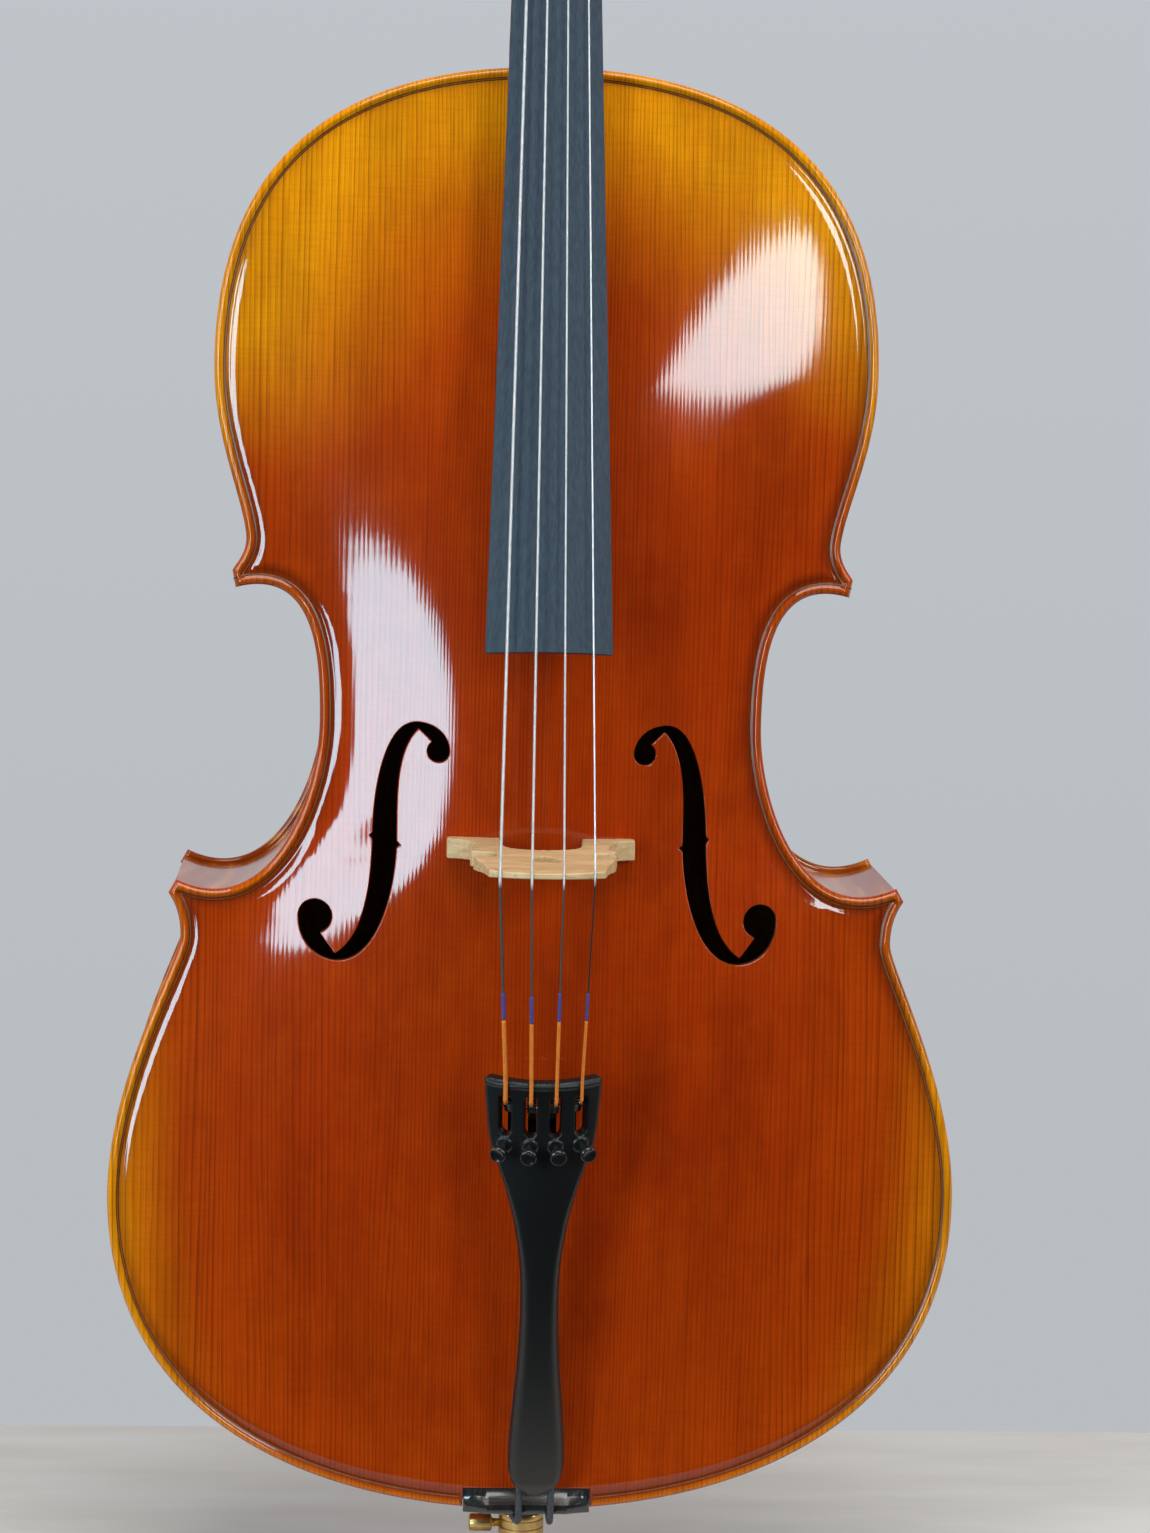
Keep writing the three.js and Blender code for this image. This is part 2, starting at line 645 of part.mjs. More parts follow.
/** Each peg: the string it winds, its place up the neck and the side its head is on. */
const PEGS = [
  { string: "c", s: 318, side: -1 },
  { string: "a", s: 336, side: 1 },
  { string: "g", s: 372, side: -1 },
  { string: "d", s: 391, side: 1 },
];
const pegDepth = (s) => pegboxFront(s) + 16;
const PEG_RADIUS = { head: 7, tip: 5 };

/** A box with the pegbox's taper, between two side faces given as tables of y over s. */
function pegboxBlank(stations, front, back, inset) {
  return loft(
    stations.map((s) => {
      const half = pegboxHalf(s) - inset;
      return [v3(half, front(s), s), v3(half, back(s), s), v3(-half, back(s), s), v3(-half, front(s), s)];
    }),
  );
}

const SCROLL = {
  y: 22, s: 456, radius: 33, shrink: 0.078, from: -62, turns: 2.2, steps: 14,
  halfFrom: 13, halfTo: 31, eyeRadius: 7, eyeHalf: 31.5,
};

/** A point round the scroll's middle, in its side view. */
const roundScroll = (angle, radius) =>
  v2(SCROLL.y + radius * Math.cos(angle), SCROLL.s + radius * Math.sin(angle));

/** The scroll: wedges round the eye that shrink and widen as the spiral winds in. */
function scroll() {
  const total = SCROLL.turns * SCROLL.steps;
  const step = (2 * Math.PI) / SCROLL.steps;
  const corner = (angle) =>
    roundScroll(angle, SCROLL.radius * Math.exp(-SCROLL.shrink * Math.max(0, angle)));
  const eye = Array.from({ length: 12 }, (_, i) =>
    roundScroll((2 * Math.PI * i) / 12, SCROLL.eyeRadius),
  );
  let made = solid(sidewall(eye, -SCROLL.eyeHalf, SCROLL.eyeHalf));
  for (let k = 0; k < total; k++) {
    const angle = radians(SCROLL.from) + k * step;
    const half = THREE.MathUtils.lerp(SCROLL.halfFrom, SCROLL.halfTo, (k / total) ** 1.15);
    const wedge = [v2(SCROLL.y, SCROLL.s), corner(angle), corner(angle + step * 1.02)];
    made = made.add(solid(sidewall(wedge, -half, half)));
  }
  return made;
}

function neckAndScroll() {
  const stations = [281, 292, 306, 324, 348, 380, 412, 440];
  const inner = [300, 312, 340, 380, 416, 422];
  const box = solid(pegboxBlank(stations, (s) => Math.max(pegboxFront(s), 0), pegboxBack, 0));
  const floor = table([[300, 18], [312, 36], [340, 44.5], [380, 47], [416, 42], [422, 30]]);
  const well = solid(pegboxBlank(inner, () => -30, floor, PEGBOX.wall));
  const tenon = tongue(0, TONGUE.low, BODY_LENGTH).applyMatrix4(toNeckFrame);
  const whole = [shaft(), heel(), tenon].reduce((sum, g) => sum.add(solid(g)), box.add(scroll()));
  const holes = PEGS.map(({ s, side }) => {
    const wall = pegboxHalf(s);
    const [thin, thick] = [PEG_RADIUS.tip + 2 * GAP, PEG_RADIUS.head + 2 * GAP];
    const profile = [[0, -60], [thin, -60], [thin, -wall], [thick, wall], [thick, 60], [0, 60]];
    const bore = turned(profile, 14).rotateY((side * Math.PI) / 2);
    return solid(bore.translate(0, pegDepth(s), s));
  });
  return geometryOf(holes.reduce((left, hole) => left.subtract(hole), whole.subtract(well)));
}

/** A tuning peg along +X: a tapered shaft, a collar and a flat head. */
function peg(side, s) {
  const wall = pegboxHalf(s);
  const profile = [
    [0, -wall - 2], [PEG_RADIUS.tip, -wall - 2], [PEG_RADIUS.head - 0.6, wall],
    [PEG_RADIUS.head, wall + 3], [PEG_RADIUS.head + 2, wall + 4], [PEG_RADIUS.head + 2, wall + 8],
    [PEG_RADIUS.head - 1.5, wall + 11], [PEG_RADIUS.head - 1.5, wall + 16], [0, wall + 16],
  ];
  const stem = solid(turned(profile, 14).rotateY(Math.PI / 2));
  const head = new THREE.Shape();
  head.moveTo(wall + 12, -5);
  head.bezierCurveTo(wall + 17, -14, wall + 28, -17, wall + 38, -13);
  head.bezierCurveTo(wall + 44, -9, wall + 45, -4, wall + 45, 0);
  head.bezierCurveTo(wall + 45, 4, wall + 44, 9, wall + 38, 13);
  head.bezierCurveTo(wall + 28, 17, wall + 17, 14, wall + 12, 5);
  const thumb = slab(new THREE.Shape(head.getPoints(5).slice(0, -1)), -4.5, 4.5);
  const made = stem.add(solid(thumb));
  return geometryOf(side > 0 ? made : made.mirror([1, 0, 0]));
}

// ---------------------------------------------------------------- tailpiece and fine tuners

/** The tail's frame: z runs from its lower end to the bridge, y from the strings to the body. */
const tailGroup = new THREE.Group();
tailGroup.position.set(4, -15.1, 12);
tailGroup.rotation.set(radians(TAIL_TILT), radians(TAIL_SWING), 0);
tailGroup.updateMatrix();
const fromTail = (point) => point.clone().applyMatrix4(tailGroup.matrix);

const tailHalfWidth = table([
  [0, 3], [3, 7.5], [8, 11.5], [16, 14.2], [26, 14.8], [50, 13.6], [85, 11], [115, 10], [140, 10.6],
  [165, 14], [184, 18.6], [198, 23], [207, 26.3], [218, 28], [244, 29.8],
]);
const tailTop = table([[0, -3], [12, -8], [35, -9.5], [115, -8], [180, -3.5], [215, -1.4], [244, -0.6]]);
const tailThickness = table([[0, 8], [12, 13], [60, 13.5], [140, 13], [190, 8], [215, 6.2], [244, 6.2]]);

/** The tailpiece's outer face over a point across and along it. */
const tailFace = (x, u) => tailTop(u) + TAIL_RADIUS - Math.sqrt(TAIL_RADIUS ** 2 - x * x);

function tailBlank() {
  const steps = 8;
  const stations = [0, 4, 10, 20, 45, 85, 115, 145, 170, 188, 202, 212, 228, TAIL_LENGTH];
  return loft(
    stations.map((u) => {
      const half = tailHalfWidth(u);
      const across = Array.from({ length: steps + 1 }, (_, i) => half - (2 * half * i) / steps);
      const round = (x) => 2.5 * (Math.abs(x) / half) ** 6;
      const top = across.map((x) => v3(x, tailFace(x, u) + round(x), u));
      const bottom = across.map((x) => v3(x * 0.92, tailFace(x, u) + tailThickness(u), u));
      return [...top, ...bottom.reverse()];
    }),
  );
}

const CORD_RADIUS = 2;
const CORD_DEPTH = 0.4; // the tail cord's axis in the tail's frame
const SCREW_RADIUS = 1.5;

/** The frame of a tuner: y goes square into the arched tailpiece, from its outer face. */
function tunerFrame(x) {
  const lean = Math.asin(x / TAIL_RADIUS);
  return {
    position: v3(x, tailFace(x, TUNER_AT), 0),
    lean,
    matrix: new THREE.Matrix4().makeRotationZ(lean).setPosition(x, tailFace(x, TUNER_AT), 0),
  };
}

function tailpiece() {
  const half = SLOT.width / 2;
  const slot = new THREE.Shape();
  slot.moveTo(half, SLOT.from + half);
  slot.lineTo(half, SLOT.to - 1);
  slot.lineTo(half - 1, SLOT.to);
  slot.lineTo(1 - half, SLOT.to);
  slot.lineTo(-half, SLOT.to - 1);
  slot.lineTo(-half, SLOT.from + half);
  slot.absarc(0, SLOT.from + half, half, Math.PI, 2 * Math.PI, false);
  const slotOutline = new THREE.Shape(slot.getPoints(3).slice(0, -1));
  const tunerCuts = STRINGS.flatMap(({ atTail }) => {
    const { matrix } = tunerFrame(atTail);
    const bore = rod([0, -15, TUNER_AT], [0, 20, TUNER_AT], SCREW_RADIUS + GAP + 0.1, 10);
    return [slab(slotOutline, -20, 30), bore].map((cut) => cut.applyMatrix4(matrix));
  });
  const fret = loft(
    [TAIL_LENGTH - 3.2, TAIL_LENGTH - 0.6].map((u) => {
      const across = Array.from({ length: 9 }, (_, i) => 28.5 - (57 * i) / 8);
      const top = across.map((x) => v3(x, tailFace(x, u) - 0.7, u));
      const bottom = across.map((x) => v3(x, tailFace(x, u) + 3, u));
      return [...top, ...bottom.reverse()];
    }),
  );
  const cordHoles = [-1, 1].map((side) =>
    rod([8.4 * side, CORD_DEPTH, -10], [8.4 * side, CORD_DEPTH, 24], CORD_RADIUS + 2 * GAP, 10),
  );
  const blank = solid(tailBlank()).add(solid(fret));
  return geometryOf(
    [...tunerCuts, ...cordHoles].reduce((left, cut) => left.subtract(solid(cut)), blank),
  );
}

/** A fine tuner's screw and the knob on it, along +Z from the tailpiece's outer face. */
function tunerScrew() {
  const tip = LEVER.arm - GAP;
  const profile = [[0, -tip], [0.9, -tip], [SCREW_RADIUS, 1 - tip], [SCREW_RADIUS, 7], [0, 7]];
  return turned(profile, 10);
}

function tunerKnob() {
  return turned(
    [[0, 7 + GAP], [2.2, 7 + GAP], [2.2, 8.4], [3.9, 8.8], [4.3, 9.4], [4.3, 12.2], [3.7, 12.9], [0, 12.9]],
    14,
  );
}

/** The lever: its pivot under the slot, a hook for the string and an arm under the screw. */
const LEVER = { depth: 7.6, at: 227, width: 4.4, arm: 12.6 };

/** The lever about its pivot, as [depth, place along the tailpiece]. */
function tunerLever() {
  const arm = LEVER.arm - LEVER.depth;
  const foot = TUNER_AT - LEVER.at - 2;
  const side = [
    v2(-4.2, 6), v2(-4.2, 3.6), v2(-2, 2), v2(-1, -2.5), v2(arm, -6), v2(arm, foot),
    v2(arm + 2.8, foot), v2(arm + 3.4, -6), v2(7, 1.5), v2(1.5, 4.5),
  ];
  const half = LEVER.width / 2;
  return sidewall(side, -half, half);
}

/** The cord that ties the tailpiece down, over the saddle and round the endpin's plug. */
function tailCord() {
  const ridge = FRONT_OUTER - SADDLE.height - CORD_RADIUS - 3 * GAP;
  const path = (side) => [
    fromTail(v3(8.4 * side, CORD_DEPTH, 20)),
    fromTail(v3(8.4 * side, CORD_DEPTH, 2)),
    v3(4 + 8.4 * side, ridge, 3.5),
    v3(4 + 8.4 * side, ridge + 1.6, -1.5),
    v3(3.5 + 8.8 * side, ridge + 6, -4.4),
    v3(2 + 11 * side, 22, -6),
    v3(0.5 + 15 * side, MIDDLE_Y - 8, -7),
  ];
  const round = [0, 1, 2, 3, 4, 5, 6].map((i) => {
    const angle = radians(180 * (i / 6));
    return v3(-15 * Math.cos(angle), MIDDLE_Y + 15 * Math.sin(angle), -7);
  });
  return smoothTube([...path(-1), ...round, ...path(1).reverse()], CORD_RADIUS, 8, 52);
}

/** A round tube on a smooth curve through points. */
function smoothTube(points, radius, sides, steps) {
  const circle = new THREE.Shape(
    Array.from({ length: sides }, (_, i) => {
      const angle = (2 * Math.PI * i) / sides;
      return v2(radius * Math.cos(angle), radius * Math.sin(angle));
    }),
  );
  return new THREE.ExtrudeGeometry(circle, {
    steps,
    extrudePath: new THREE.CatmullRomCurve3(points, false, "centripetal"),
  });
}

// ---------------------------------------------------------------- strings

/** A string, from the hook of its fine tuner over the bridge and the nut to its peg. */
function musicString({ name, radius, atNut, atBridge, atTail }) {
  const { s } = PEGS.find(({ string }) => string === name);
  const hook = fromTail(v3(0, 1.2, SLOT.to - 3.5).applyMatrix4(tunerFrame(atTail).matrix));
  const overTail = (u) => fromTail(v3(atTail, tailFace(atTail, u) - 0.7 - radius - 2 * GAP, u));
  const over = (z) => v3(atBridge, crownY(atBridge) - radius - GAP, z);
  const fromNeck = (point) => point.applyMatrix4(neckGroup.matrix);
  const onNut = (at) => fromNeck(v3(atNut, boardTop(atNut, NUT_Z) - 1 - radius - GAP, at));
  const inBox = fromNeck(v3(atNut * 0.75, pegDepth(s) - PEG_RADIUS.tip - 1.5 - radius, s - 2));
  return tube(
    [
      hook, overTail(SLOT.to - 1), overTail(TAIL_LENGTH - 0.8), over(BRIDGE_BACK_Z),
      over(BRIDGE_BACK_Z + BRIDGE_CROWN_DEPTH), onNut(NUT_Z + 1), onNut(NUT_Z + NUT_DEPTH + GAP), inBox,
    ],
    radius,
    8,
  );
}

// ---------------------------------------------------------------- endpin

/** A turned ring on the endpin's axis, from a closed list of [radius, z]. */
const ring = (profile, sides = 20) =>
  turned([...profile, profile[0]], sides).translate(0, MIDDLE_Y, 0);

const BORE = ROD_RADIUS + 0.5;

const endpinPlug = () =>
  ring([
    [BORE, COLLAR_TOP + GAP], [12.1, COLLAR_TOP + GAP], [12.4, -18], [12.4, -11], [11.4, -10],
    [11.4, -4], [13.6, -3], [13.6, 2.4], [12.2, 2.8], [10.8, 40], [BORE, 40],
  ]);

function endpinCollar() {
  const sleeve = ring([
    [BORE, COLLAR_BOTTOM], [10.6, COLLAR_BOTTOM], [12, -42.6], [12.4, -41], [12.4, -37.5],
    [11.9, -37], [12.4, -36.5], [12.4, -23], [11.8, -22.4], [12.4, -21.8], [12.4, COLLAR_TOP],
    [BORE, COLLAR_TOP],
  ]);
  const tapped = rod([-20, MIDDLE_Y, CLAMP_Z], [0, MIDDLE_Y, CLAMP_Z], 2.5 + GAP, 12);
  return geometryOf(solid(sleeve).subtract(solid(tapped)));
}

/** The thumbscrew that clamps the rod, along -X. */
function clampScrew() {
  const profile = [
    [0, 5.4], [2.5, 5.4], [2.5, 16], [4.2, 16.2], [4.8, 17], [4.8, 27.8], [4.2, 28.6], [0, 28.6],
  ];
  return turned(profile, 16).rotateY(-Math.PI / 2).translate(0, MIDDLE_Y, CLAMP_Z);
}

const endpinRod = () => {
  const low = FOOT_Z + 14;
  const profile = [
    [0, low], [ROD_RADIUS - 0.2, low], [ROD_RADIUS, low + 1], [ROD_RADIUS, low + ROD_LENGTH - 3],
    [ROD_RADIUS - 2, low + ROD_LENGTH], [0, low + ROD_LENGTH],
  ];
  return turned(profile, 16).translate(0, MIDDLE_Y, 0);
};

const endpinFoot = () =>
  turned(
    [
      [0, FOOT_Z], [6, FOOT_Z], [8.5, FOOT_Z + 3], [8.5, FOOT_Z + 8], [7.4, FOOT_Z + 22],
      [ROD_RADIUS + 0.8, FOOT_Z + 24], [ROD_RADIUS + GAP, FOOT_Z + 24],
      [ROD_RADIUS + GAP, FOOT_Z + 14 - GAP], [0, FOOT_Z + 14 - GAP],
    ],
    20,
  ).translate(0, MIDDLE_Y, 0);

// ---------------------------------------------------------------- assembly

const instrument = new THREE.Group();
instrument.position.set(0, -MIDDLE_Y, -FOOT_Z);
instrument.add(neckGroup, tailGroup);

/** Adds a named piece to a group. */
function place(group, name, shape, material) {
  const geometry = shape.isBufferGeometry ? shape : geometryOf(shape);
  const mesh = new THREE.Mesh(geometry, material);
  mesh.name = name;
  group.add(mesh);
  return mesh;
}

place(instrument, "front_plate", frontPlate(), SPRUCE);
place(instrument, "back_plate", backPlate(), MAPLE);
for (const [name, side] of SIDES) {
  ribs(name, side).forEach(([label, geometry]) => place(instrument, label, geometry, MAPLE));
  linings(name, side).forEach(([label, geometry]) => place(instrument, label, geometry, RAW_WOOD));
  for (const level of ["lower", "upper"]) {
    place(instrument, `${level}_corner_block_${name}`, cornerBlock(level, side), RAW_WOOD);
  }
}
place(instrument, "neck_block", neckBlock(), RAW_WOOD);
place(instrument, "end_block", endBlock(), RAW_WOOD);
place(instrument, "bass_bar", bassBar(), RAW_WOOD);
place(instrument, "sound_post", soundPost(), RAW_WOOD);
place(instrument, "saddle", saddle(), EBONY);
place(instrument, "bridge", bridge(), BRIDGE_MAPLE);
place(instrument, "tail_cord", tailCord(), BLACK_CORD);

place(neckGroup, "neck_and_scroll", neckAndScroll(), MAPLE);
place(neckGroup, "fingerboard", fingerboard(), EBONY);
place(neckGroup, "nut", nut(), EBONY);
for (const { string, s, side } of PEGS) {
  place(neckGroup, `peg_${string}`, peg(side, s), EBONY).position.set(0, pegDepth(s), s);
}

place(tailGroup, "tailpiece", tailpiece(), BLACK_RESIN);
for (const { name, atTail } of STRINGS) {
  const { position, lean } = tunerFrame(atTail);
  for (const [label, geometry] of [["screw", tunerScrew()], ["knob", tunerKnob()]]) {
    const piece = place(tailGroup, `tuner_${label}_${name}`, geometry, BLACK_METAL);
    piece.position.set(position.x, position.y, TUNER_AT);
    piece.rotation.set(Math.PI / 2, lean, 0);
  }
  const lever = place(tailGroup, `tuner_lever_${name}`, tunerLever(), BLACK_METAL);
  lever.rotation.z = lean;
  lever.position.set(0, LEVER.depth, LEVER.at).applyAxisAngle(v3(0, 0, 1), lean).add(position);
}
for (const string of STRINGS) {
  place(instrument, `string_${string.name}`, musicString(string), STEEL);
}

place(instrument, "endpin_plug", endpinPlug(), EBONY);
place(instrument, "endpin_collar", endpinCollar(), BRASS);
place(instrument, "endpin_clamp_screw", clampScrew(), BRASS);
place(instrument, "endpin_rod", endpinRod(), STEEL);
place(instrument, "endpin_foot", endpinFoot(), RUBBER);

const cello = new THREE.Group();
cello.add(instrument);

export default cello;
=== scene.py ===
"""The looks of a full-size cello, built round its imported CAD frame.

Shapes are worked out in the body frame of the CAD model, in millimetres: z is 0 at the body's lower end, and
y is 0 in the middle of the front plate's edge. The neck and the tailpiece have tilted frames of their own.
"""

import math

import bmesh
import bpy
import numpy as np
from mathutils import Matrix, Vector
from mathutils.geometry import delaunay_2d_cdt


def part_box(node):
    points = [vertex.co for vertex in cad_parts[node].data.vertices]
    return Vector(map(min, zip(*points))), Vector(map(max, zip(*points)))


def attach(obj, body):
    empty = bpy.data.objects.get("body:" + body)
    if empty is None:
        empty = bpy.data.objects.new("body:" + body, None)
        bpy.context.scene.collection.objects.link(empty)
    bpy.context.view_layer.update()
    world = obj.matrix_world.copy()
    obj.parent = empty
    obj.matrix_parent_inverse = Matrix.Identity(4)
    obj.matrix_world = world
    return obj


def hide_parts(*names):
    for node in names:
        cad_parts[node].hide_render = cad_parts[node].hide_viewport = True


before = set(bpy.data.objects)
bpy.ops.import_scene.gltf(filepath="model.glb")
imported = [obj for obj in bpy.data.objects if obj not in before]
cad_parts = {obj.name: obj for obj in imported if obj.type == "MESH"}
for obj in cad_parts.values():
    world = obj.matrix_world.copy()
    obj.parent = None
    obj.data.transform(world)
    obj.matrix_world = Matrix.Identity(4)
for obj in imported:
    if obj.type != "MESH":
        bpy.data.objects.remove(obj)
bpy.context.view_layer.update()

MM = 0.001
EDGE = 4.8  # thickness of both plates
BODY_LENGTH = 757.0
RIB_HEIGHT = 117.2
ARCH_HEIGHT = 24.0
OVERHANG = 3.0
RIB_THICKNESS = 1.6

body_low_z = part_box("back_plate")[0].z
front_edge_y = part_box("middle_rib_bass")[0].y - EDGE / 2 * MM
BODY_ORIGIN = Vector((0, front_edge_y, body_low_z))
MIDDLE_Y = EDGE / 2 + RIB_HEIGHT / 2
BACK_Y = EDGE + RIB_HEIGHT  # middle of the back plate's edge


# ---------------------------------------------------------------- frames

def turned_matrix(origin, about_x, about_y=0.0):
    """Local to body: turned about Y first and then about X, and moved to origin."""
    turn = Matrix.Rotation(math.radians(about_x), 4, "X") @ Matrix.Rotation(math.radians(about_y), 4, "Y")
    return Matrix.Translation(origin) @ turn


BODY = Matrix.Identity(4)
NECK_LENGTH = 284.3
NECK_STAND, NECK_TILT = 21.0, -10.0  # mm over the plate's edge, and degrees back
NECK = turned_matrix((0, -EDGE / 2 - NECK_STAND, BODY_LENGTH), NECK_TILT)
TAIL_X = 4.0  # how far the tailpiece's lower end is to the treble side
TAIL = turned_matrix((TAIL_X, -15.1, 12), 16.8, -0.6)


def to_frame(points, local=BODY):
    """Millimetres in a local frame as metres in the part's frame."""
    points = np.asarray(points, float).reshape(-1, 3)
    m = np.array(local)
    body = points @ m[:3, :3].T + m[:3, 3]
    return body * MM + np.array(BODY_ORIGIN)


# ---------------------------------------------------------------- curves

def bezier(a, b, c, d, steps):
    t = np.linspace(0, 1, steps + 1)[:, None]
    a, b, c, d = (np.array(p, float) for p in (a, b, c, d))
    return a * (1 - t) ** 3 + 3 * b * t * (1 - t) ** 2 + 3 * c * t ** 2 * (1 - t) + d * t ** 3


def arc(centre, radius, start, end, steps):
    angles = np.radians(np.linspace(start, end, steps + 1))
    return np.column_stack([centre[0] + radius * np.cos(angles), centre[1] + radius * np.sin(angles)])


def chain(*pieces):
    """Joins stretches of points, dropping the points where they meet."""
    points = np.vstack([np.asarray(p, float).reshape(-1, 2) for p in pieces])
    keep = [0] + [i for i in range(1, len(points)) if np.linalg.norm(points[i] - points[i - 1]) > 1e-6]
    return points[keep]


def running_length(points):
    """How far along a line each of its points is."""
    return np.concatenate([[0], np.cumsum(np.linalg.norm(np.diff(points, axis=0), axis=1))])


def sampled(points, at):
    """The places on a line of points at lengths from its start."""
    length = running_length(points)
    return np.column_stack([np.interp(at, length, column) for column in np.transpose(points)])


def even(line, count):
    """The same line with count evenly spaced points."""
    return sampled(line, np.linspace(0, running_length(line)[-1], count))


def resample(points, spacing):
    """The same line with evenly spaced points, its ends kept."""
    return even(points, max(1, round(running_length(points)[-1] / spacing)) + 1)


def shut(loop):
    """A loop with its first point once more at its end."""
    return np.vstack([loop, loop[:1]])


def both_sides(half):
    """A closed outline from its half at positive x, which starts and ends in the middle."""
    return np.vstack([half, half[-2:0:-1] * [-1, 1]])


def grid_over(across, along):
    """Every pair from two rows of numbers."""
    u, v = np.meshgrid(across, along)
    return np.column_stack([u.ravel(), v.ravel()])


def table(pairs):
    """A smooth curve through [at, value] pairs."""
    at = np.array([p[0] for p in pairs], float)
    value = np.array([p[1] for p in pairs], float)
    n = len(at) - 1

    def read(x):
        x = np.clip(np.asarray(x, float), at[0], at[-1])
        i = np.clip(np.searchsorted(at, x, side="right") - 1, 0, n - 1)
        t = (x - at[i]) / (at[i + 1] - at[i])
        a, b, c, d = (value[np.clip(i + k, 0, n)] for k in (-1, 0, 1, 2))
        return b + 0.5 * t * (c - a + t * (2 * a - 5 * b + 4 * c - d + t * (3 * (b - c) + d - a)))

    return read


# ---------------------------------------------------------------- the outline

BOUTS = {
    "lower": chain(
        bezier((0, 0), (124, 0), (223, 55), (223, 168), 140),
        bezier((223, 168), (223, 230), (186, 293), (186, 306), 90),
        bezier((186, 306), (186, 315), (188, 322), (192.5, 328.5), 24),
    ),
    "middle": chain(
        bezier((188.5, 335.5), (139.5, 312.5), (115, 379), (115, 420), 90),
        bezier((115, 420), (115, 454), (118.5, 499.5), (159.3, 488), 80),
    ),
    "upper": chain(
        bezier((161, 497), (160, 499.5), (154, 505), (154, 514), 16),
        bezier((154, 514), (156, 535), (171.5, 564), (171.5, 603), 60),
        bezier((171.5, 603), (171.5, 713), (103, BODY_LENGTH), (0, BODY_LENGTH), 140),
    ),
}
STEP = 2.0  # mm between the outline's points
BOUTS = {name: resample(points, STEP) for name, points in BOUTS.items()}
half_outline = chain(*BOUTS.values())
outline = both_sides(half_outline)


def inward(points):
    """Directions square to an upward-running line of the treble side, towards the body's middle."""
    along = np.gradient(points, axis=0)
    along /= np.linalg.norm(along, axis=1)[:, None]
    return np.column_stack([-along[:, 1], along[:, 0]])


def crossing(a, b):
    """Where line a first meets line b: (index on a, index on b, point)."""
    for i in range(len(a) - 1):
        p, r = a[i], a[i + 1] - a[i]
        q, s = b[:-1], np.diff(b, axis=0)
        cross = r[0] * s[:, 1] - r[1] * s[:, 0]
        cross[np.abs(cross) < 1e-12] = 1e-12
        t = ((q[:, 0] - p[0]) * s[:, 1] - (q[:, 1] - p[1]) * s[:, 0]) / cross
        u = ((q[:, 0] - p[0]) * r[1] - (q[:, 1] - p[1]) * r[0]) / cross
        hit = np.nonzero((t >= 0) & (t <= 1) & (u >= 0) & (u <= 1))[0]
        if len(hit):
            return i, hit[0], p + t[hit[0]] * r
    return None


def mitred(distance):
    """The three bouts of the treble side moved into the body, and trimmed where they cross at the corners."""
    moved = [points + distance * inward(points) for points in BOUTS.values()]
    for k in (0, 1):
        found = crossing(moved[k], moved[k + 1])
        if found:
            i, j, point = found
            moved[k] = np.vstack([moved[k][: i + 1], point])
            moved[k + 1] = np.vstack([point, moved[k + 1][j + 1:]])
    return moved


def nearest(points, line):
    """Distance from each point to a line of points, and the direction away from it."""
    a, d = line[:-1], np.diff(line, axis=0)
    length = np.maximum((d ** 2).sum(1), 1e-12)
    far = np.empty(len(points))
    away = np.empty((len(points), 2))
    for i in range(0, len(points), 2000):
        p = points[i:i + 2000, None, :]
        t = np.clip(((p - a) * d).sum(2) / length, 0, 1)
        gap = p - (a + t[..., None] * d)
        distance = np.sqrt((gap ** 2).sum(2))
        best = distance.argmin(1)
        rows = np.arange(len(best))
        far[i:i + 2000] = distance[rows, best]
        away[i:i + 2000] = gap[rows, best] / np.maximum(distance[rows, best], 1e-9)[:, None]
    return far, away


def to_outline(plan):
    """Distance from each point of a plan to the body's outline, and the direction away from it."""
    mirror = np.column_stack([np.where(plan[:, 0] < 0, -1, 1), np.ones(len(plan))])
    distance, away = nearest(plan * mirror, half_outline)
    return distance, away * mirror


def inside(points, loop):
    """Which points lie inside a closed loop."""
    a, b = loop, np.roll(loop, -1, axis=0)
    result = np.zeros(len(points), bool)
    for i in range(0, len(points), 2000):
        p = points[i:i + 2000, None, :]
        spans = (a[:, 1] > p[..., 1]) != (b[:, 1] > p[..., 1])
        slope = (b[:, 0] - a[:, 0]) / np.where(b[:, 1] == a[:, 1], 1e-12, b[:, 1] - a[:, 1])
        left = p[..., 0] < a[:, 0] + slope * (p[..., 1] - a[:, 1])
        result[i:i + 2000] = (spans & left).sum(1) % 2 == 1
    return result


# ---------------------------------------------------------------- meshes

def finish_mesh(name, mesh, materials, sharp, slot, body="instrument", replaces=()):
    """The piece that a mesh makes: its materials, its body, and the CAD nodes it stands for. slot is not used."""
    obj = bpy.data.objects.new(name, mesh)
    bpy.context.scene.collection.objects.link(obj)
    for material in materials:
        mesh.materials.append(material)
    mesh.shade_smooth()
    if sharp:
        mesh.set_sharp_from_angle(angle=math.radians(sharp))
    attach(obj, body)
    if replaces:
        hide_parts(*replaces)


def new_mesh(name, points, faces, local, marks):
    """A mesh from points in a local frame. marks are numbers for its points that materials read by name."""
    mesh = bpy.data.meshes.new(name)
    mesh.from_pydata(to_frame(points, local).tolist(), [], [tuple(map(int, f)) for f in faces])
    for key, values in marks.items():
        attribute = mesh.attributes.new(key, "FLOAT", "POINT")
        attribute.data.foreach_set("value", np.asarray(values, np.float32))
    return mesh


